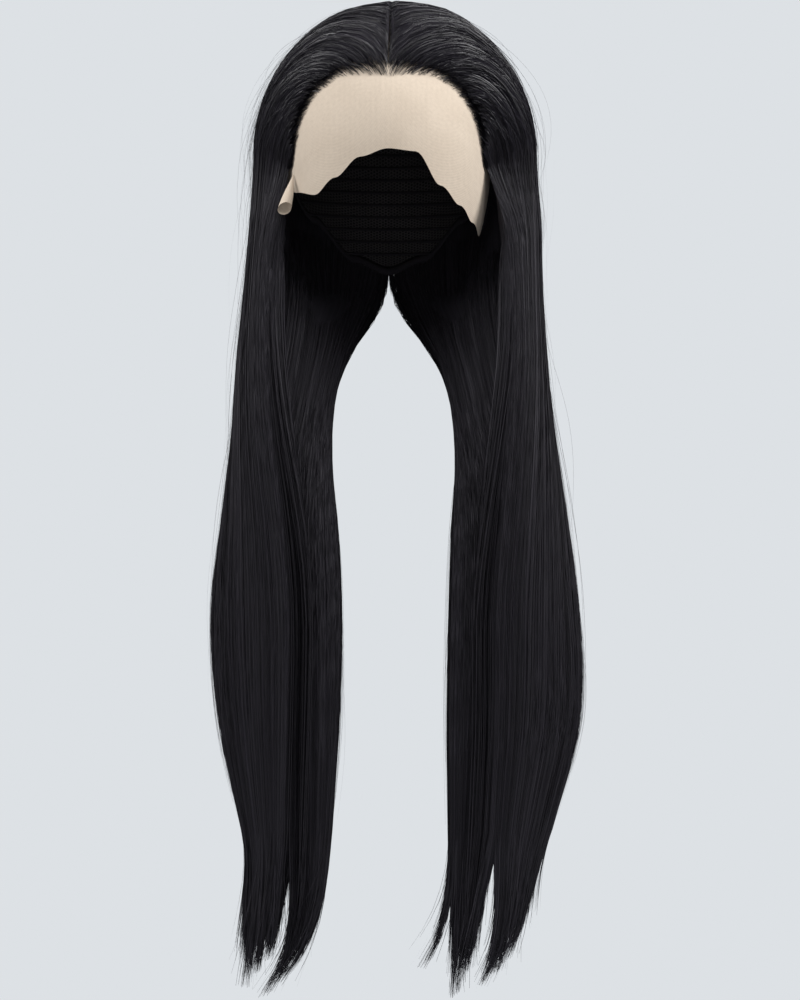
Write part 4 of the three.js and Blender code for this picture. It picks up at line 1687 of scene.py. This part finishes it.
@dataclass(frozen=True)
class SoftBox:
    """A soft light, with its size in metres and its power in watts."""

    name: str
    place: tuple[float, float, float]
    size: tuple[float, float]
    power: float

    def build(self, target: tuple[float, float, float]) -> None:
        """Add the light, turned to a point."""
        data = bpy.data.lights.new(self.name, "AREA")
        data.shape = "RECTANGLE"
        data.size, data.size_y = self.size
        data.energy = self.power
        lamp = placed(self.name, data)
        lamp.location = self.place
        toward = Vector(target) - Vector(self.place)
        lamp.rotation_euler = toward.to_track_quat("-Z", "Y").to_euler()


LIGHTS = (
    SoftBox("light_left", (-2.2, -0.5, 1.2), (1.5, 1.5), 54.0),
    SoftBox("light_right", (2.2, -0.5, 1.2), (1.5, 1.5), 78.0),
    SoftBox("light_front_left", (-1.3, -2.2, 2.3), (1.2, 1.0), 38.0),
    SoftBox("light_front_right", (1.3, -2.2, 2.3), (1.2, 1.0), 38.0),
    SoftBox("light_fill", (0.0, -3.9, -0.3), (1.6, 1.6), 14.0),
    SoftBox("light_behind", (0.2, 1.9, 1.6), (1.4, 1.0), 15.0),
)


@dataclass
class Studio:
    """Camera, soft light, pale floor and pale background."""

    camera_x: float = 0.0087
    camera_y: float = -3.28
    camera_z: float = -0.361
    lens: float = 158.9
    background: Colour = (0.723, 0.753, 0.783, 1.0)
    surround: float = 0.13
    floor_z: float = -0.8
    floor_radius: float = 0.5
    target: tuple[float, float, float] = (0.0, 0.0, -0.2)

    def build(self) -> None:
        """Set up everything that isn't part of the wig."""
        self.camera()
        self.world()
        self.floor()
        for light in LIGHTS:
            light.build(self.target)
        bpy.context.scene.view_settings.view_transform = "Standard"

    def camera(self) -> None:
        """Place the level camera before the wig."""
        data = bpy.data.cameras.new("camera")
        data.lens = self.lens
        data.sensor_width = 36.0
        data.sensor_fit = "AUTO"
        data.clip_end = 50.0
        camera = placed("camera", data)
        camera.location = (self.camera_x, self.camera_y, self.camera_z)
        camera.rotation_euler = (np.pi / 2, 0, 0)
        bpy.context.scene.camera = camera

    def world(self) -> None:
        """Surround the wig with pale light."""
        world = bpy.data.worlds.new("surround")
        world.use_nodes = True
        bpy.context.scene.world = world
        bench = Bench(world.node_tree)
        seen = bench.add("ShaderNodeLightPath").outputs["Is Camera Ray"]
        strength = bench.add("ShaderNodeMapRange", {0: seen, 3: self.surround, 4: 1.0}).outputs[0]
        sky = world.node_tree.nodes["Background"]
        bench.feed(sky, {"Color": self.background, "Strength": strength})

    def floor(self) -> None:
        """Lay a plain pale disc well below the tips."""
        body = bmesh.new()
        bmesh.ops.create_circle(body, cap_ends=True, segments=96, radius=self.floor_radius)
        mesh = bpy.data.meshes.new("floor")
        body.to_mesh(mesh)
        body.free()
        material, bench, skin = new_material("floor_finish")
        place = bench.add("ShaderNodeNewGeometry").outputs["Position"]
        tone = bench.blend(bench.noise(place, 6.0), (0.40, 0.42, 0.44, 1), (0.43, 0.45, 0.47, 1))
        bench.feed(skin, {"Base Color": tone, "Roughness": 0.9})
        mesh.materials.append(material)
        floor = placed("floor", mesh)
        floor.location = (0, 0, self.floor_z)


def main() -> None:
    """Build the wig's pieces in order and report each."""
    logging.basicConfig(level=logging.INFO, format="%(name)s: %(message)s")
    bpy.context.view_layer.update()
    finishes = Finishes()
    pieces = LaceFront().build(finishes)
    pieces += WigCap().build(finishes)
    for form, strands, seed in (
        (RIGHT_FRONT, 3000, 11),
        (LEFT_FRONT, 3000, 23),
        (RIGHT_BACK, 2800, 37),
        (LEFT_BACK, 2800, 51),
    ):
        pieces += HairPiece(form, strands, seed).build(finishes)
    pieces.append(HairlineFringe((RIGHT_FRONT, LEFT_FRONT)).build(finishes))
    pieces.append(Flyaways((RIGHT_FRONT, LEFT_FRONT, RIGHT_BACK, LEFT_BACK)).build(finishes))
    Studio().build()
    log.info("%d pieces", len(pieces))
    bpy.context.view_layer.update()


if __name__ == "__main__":
    main()
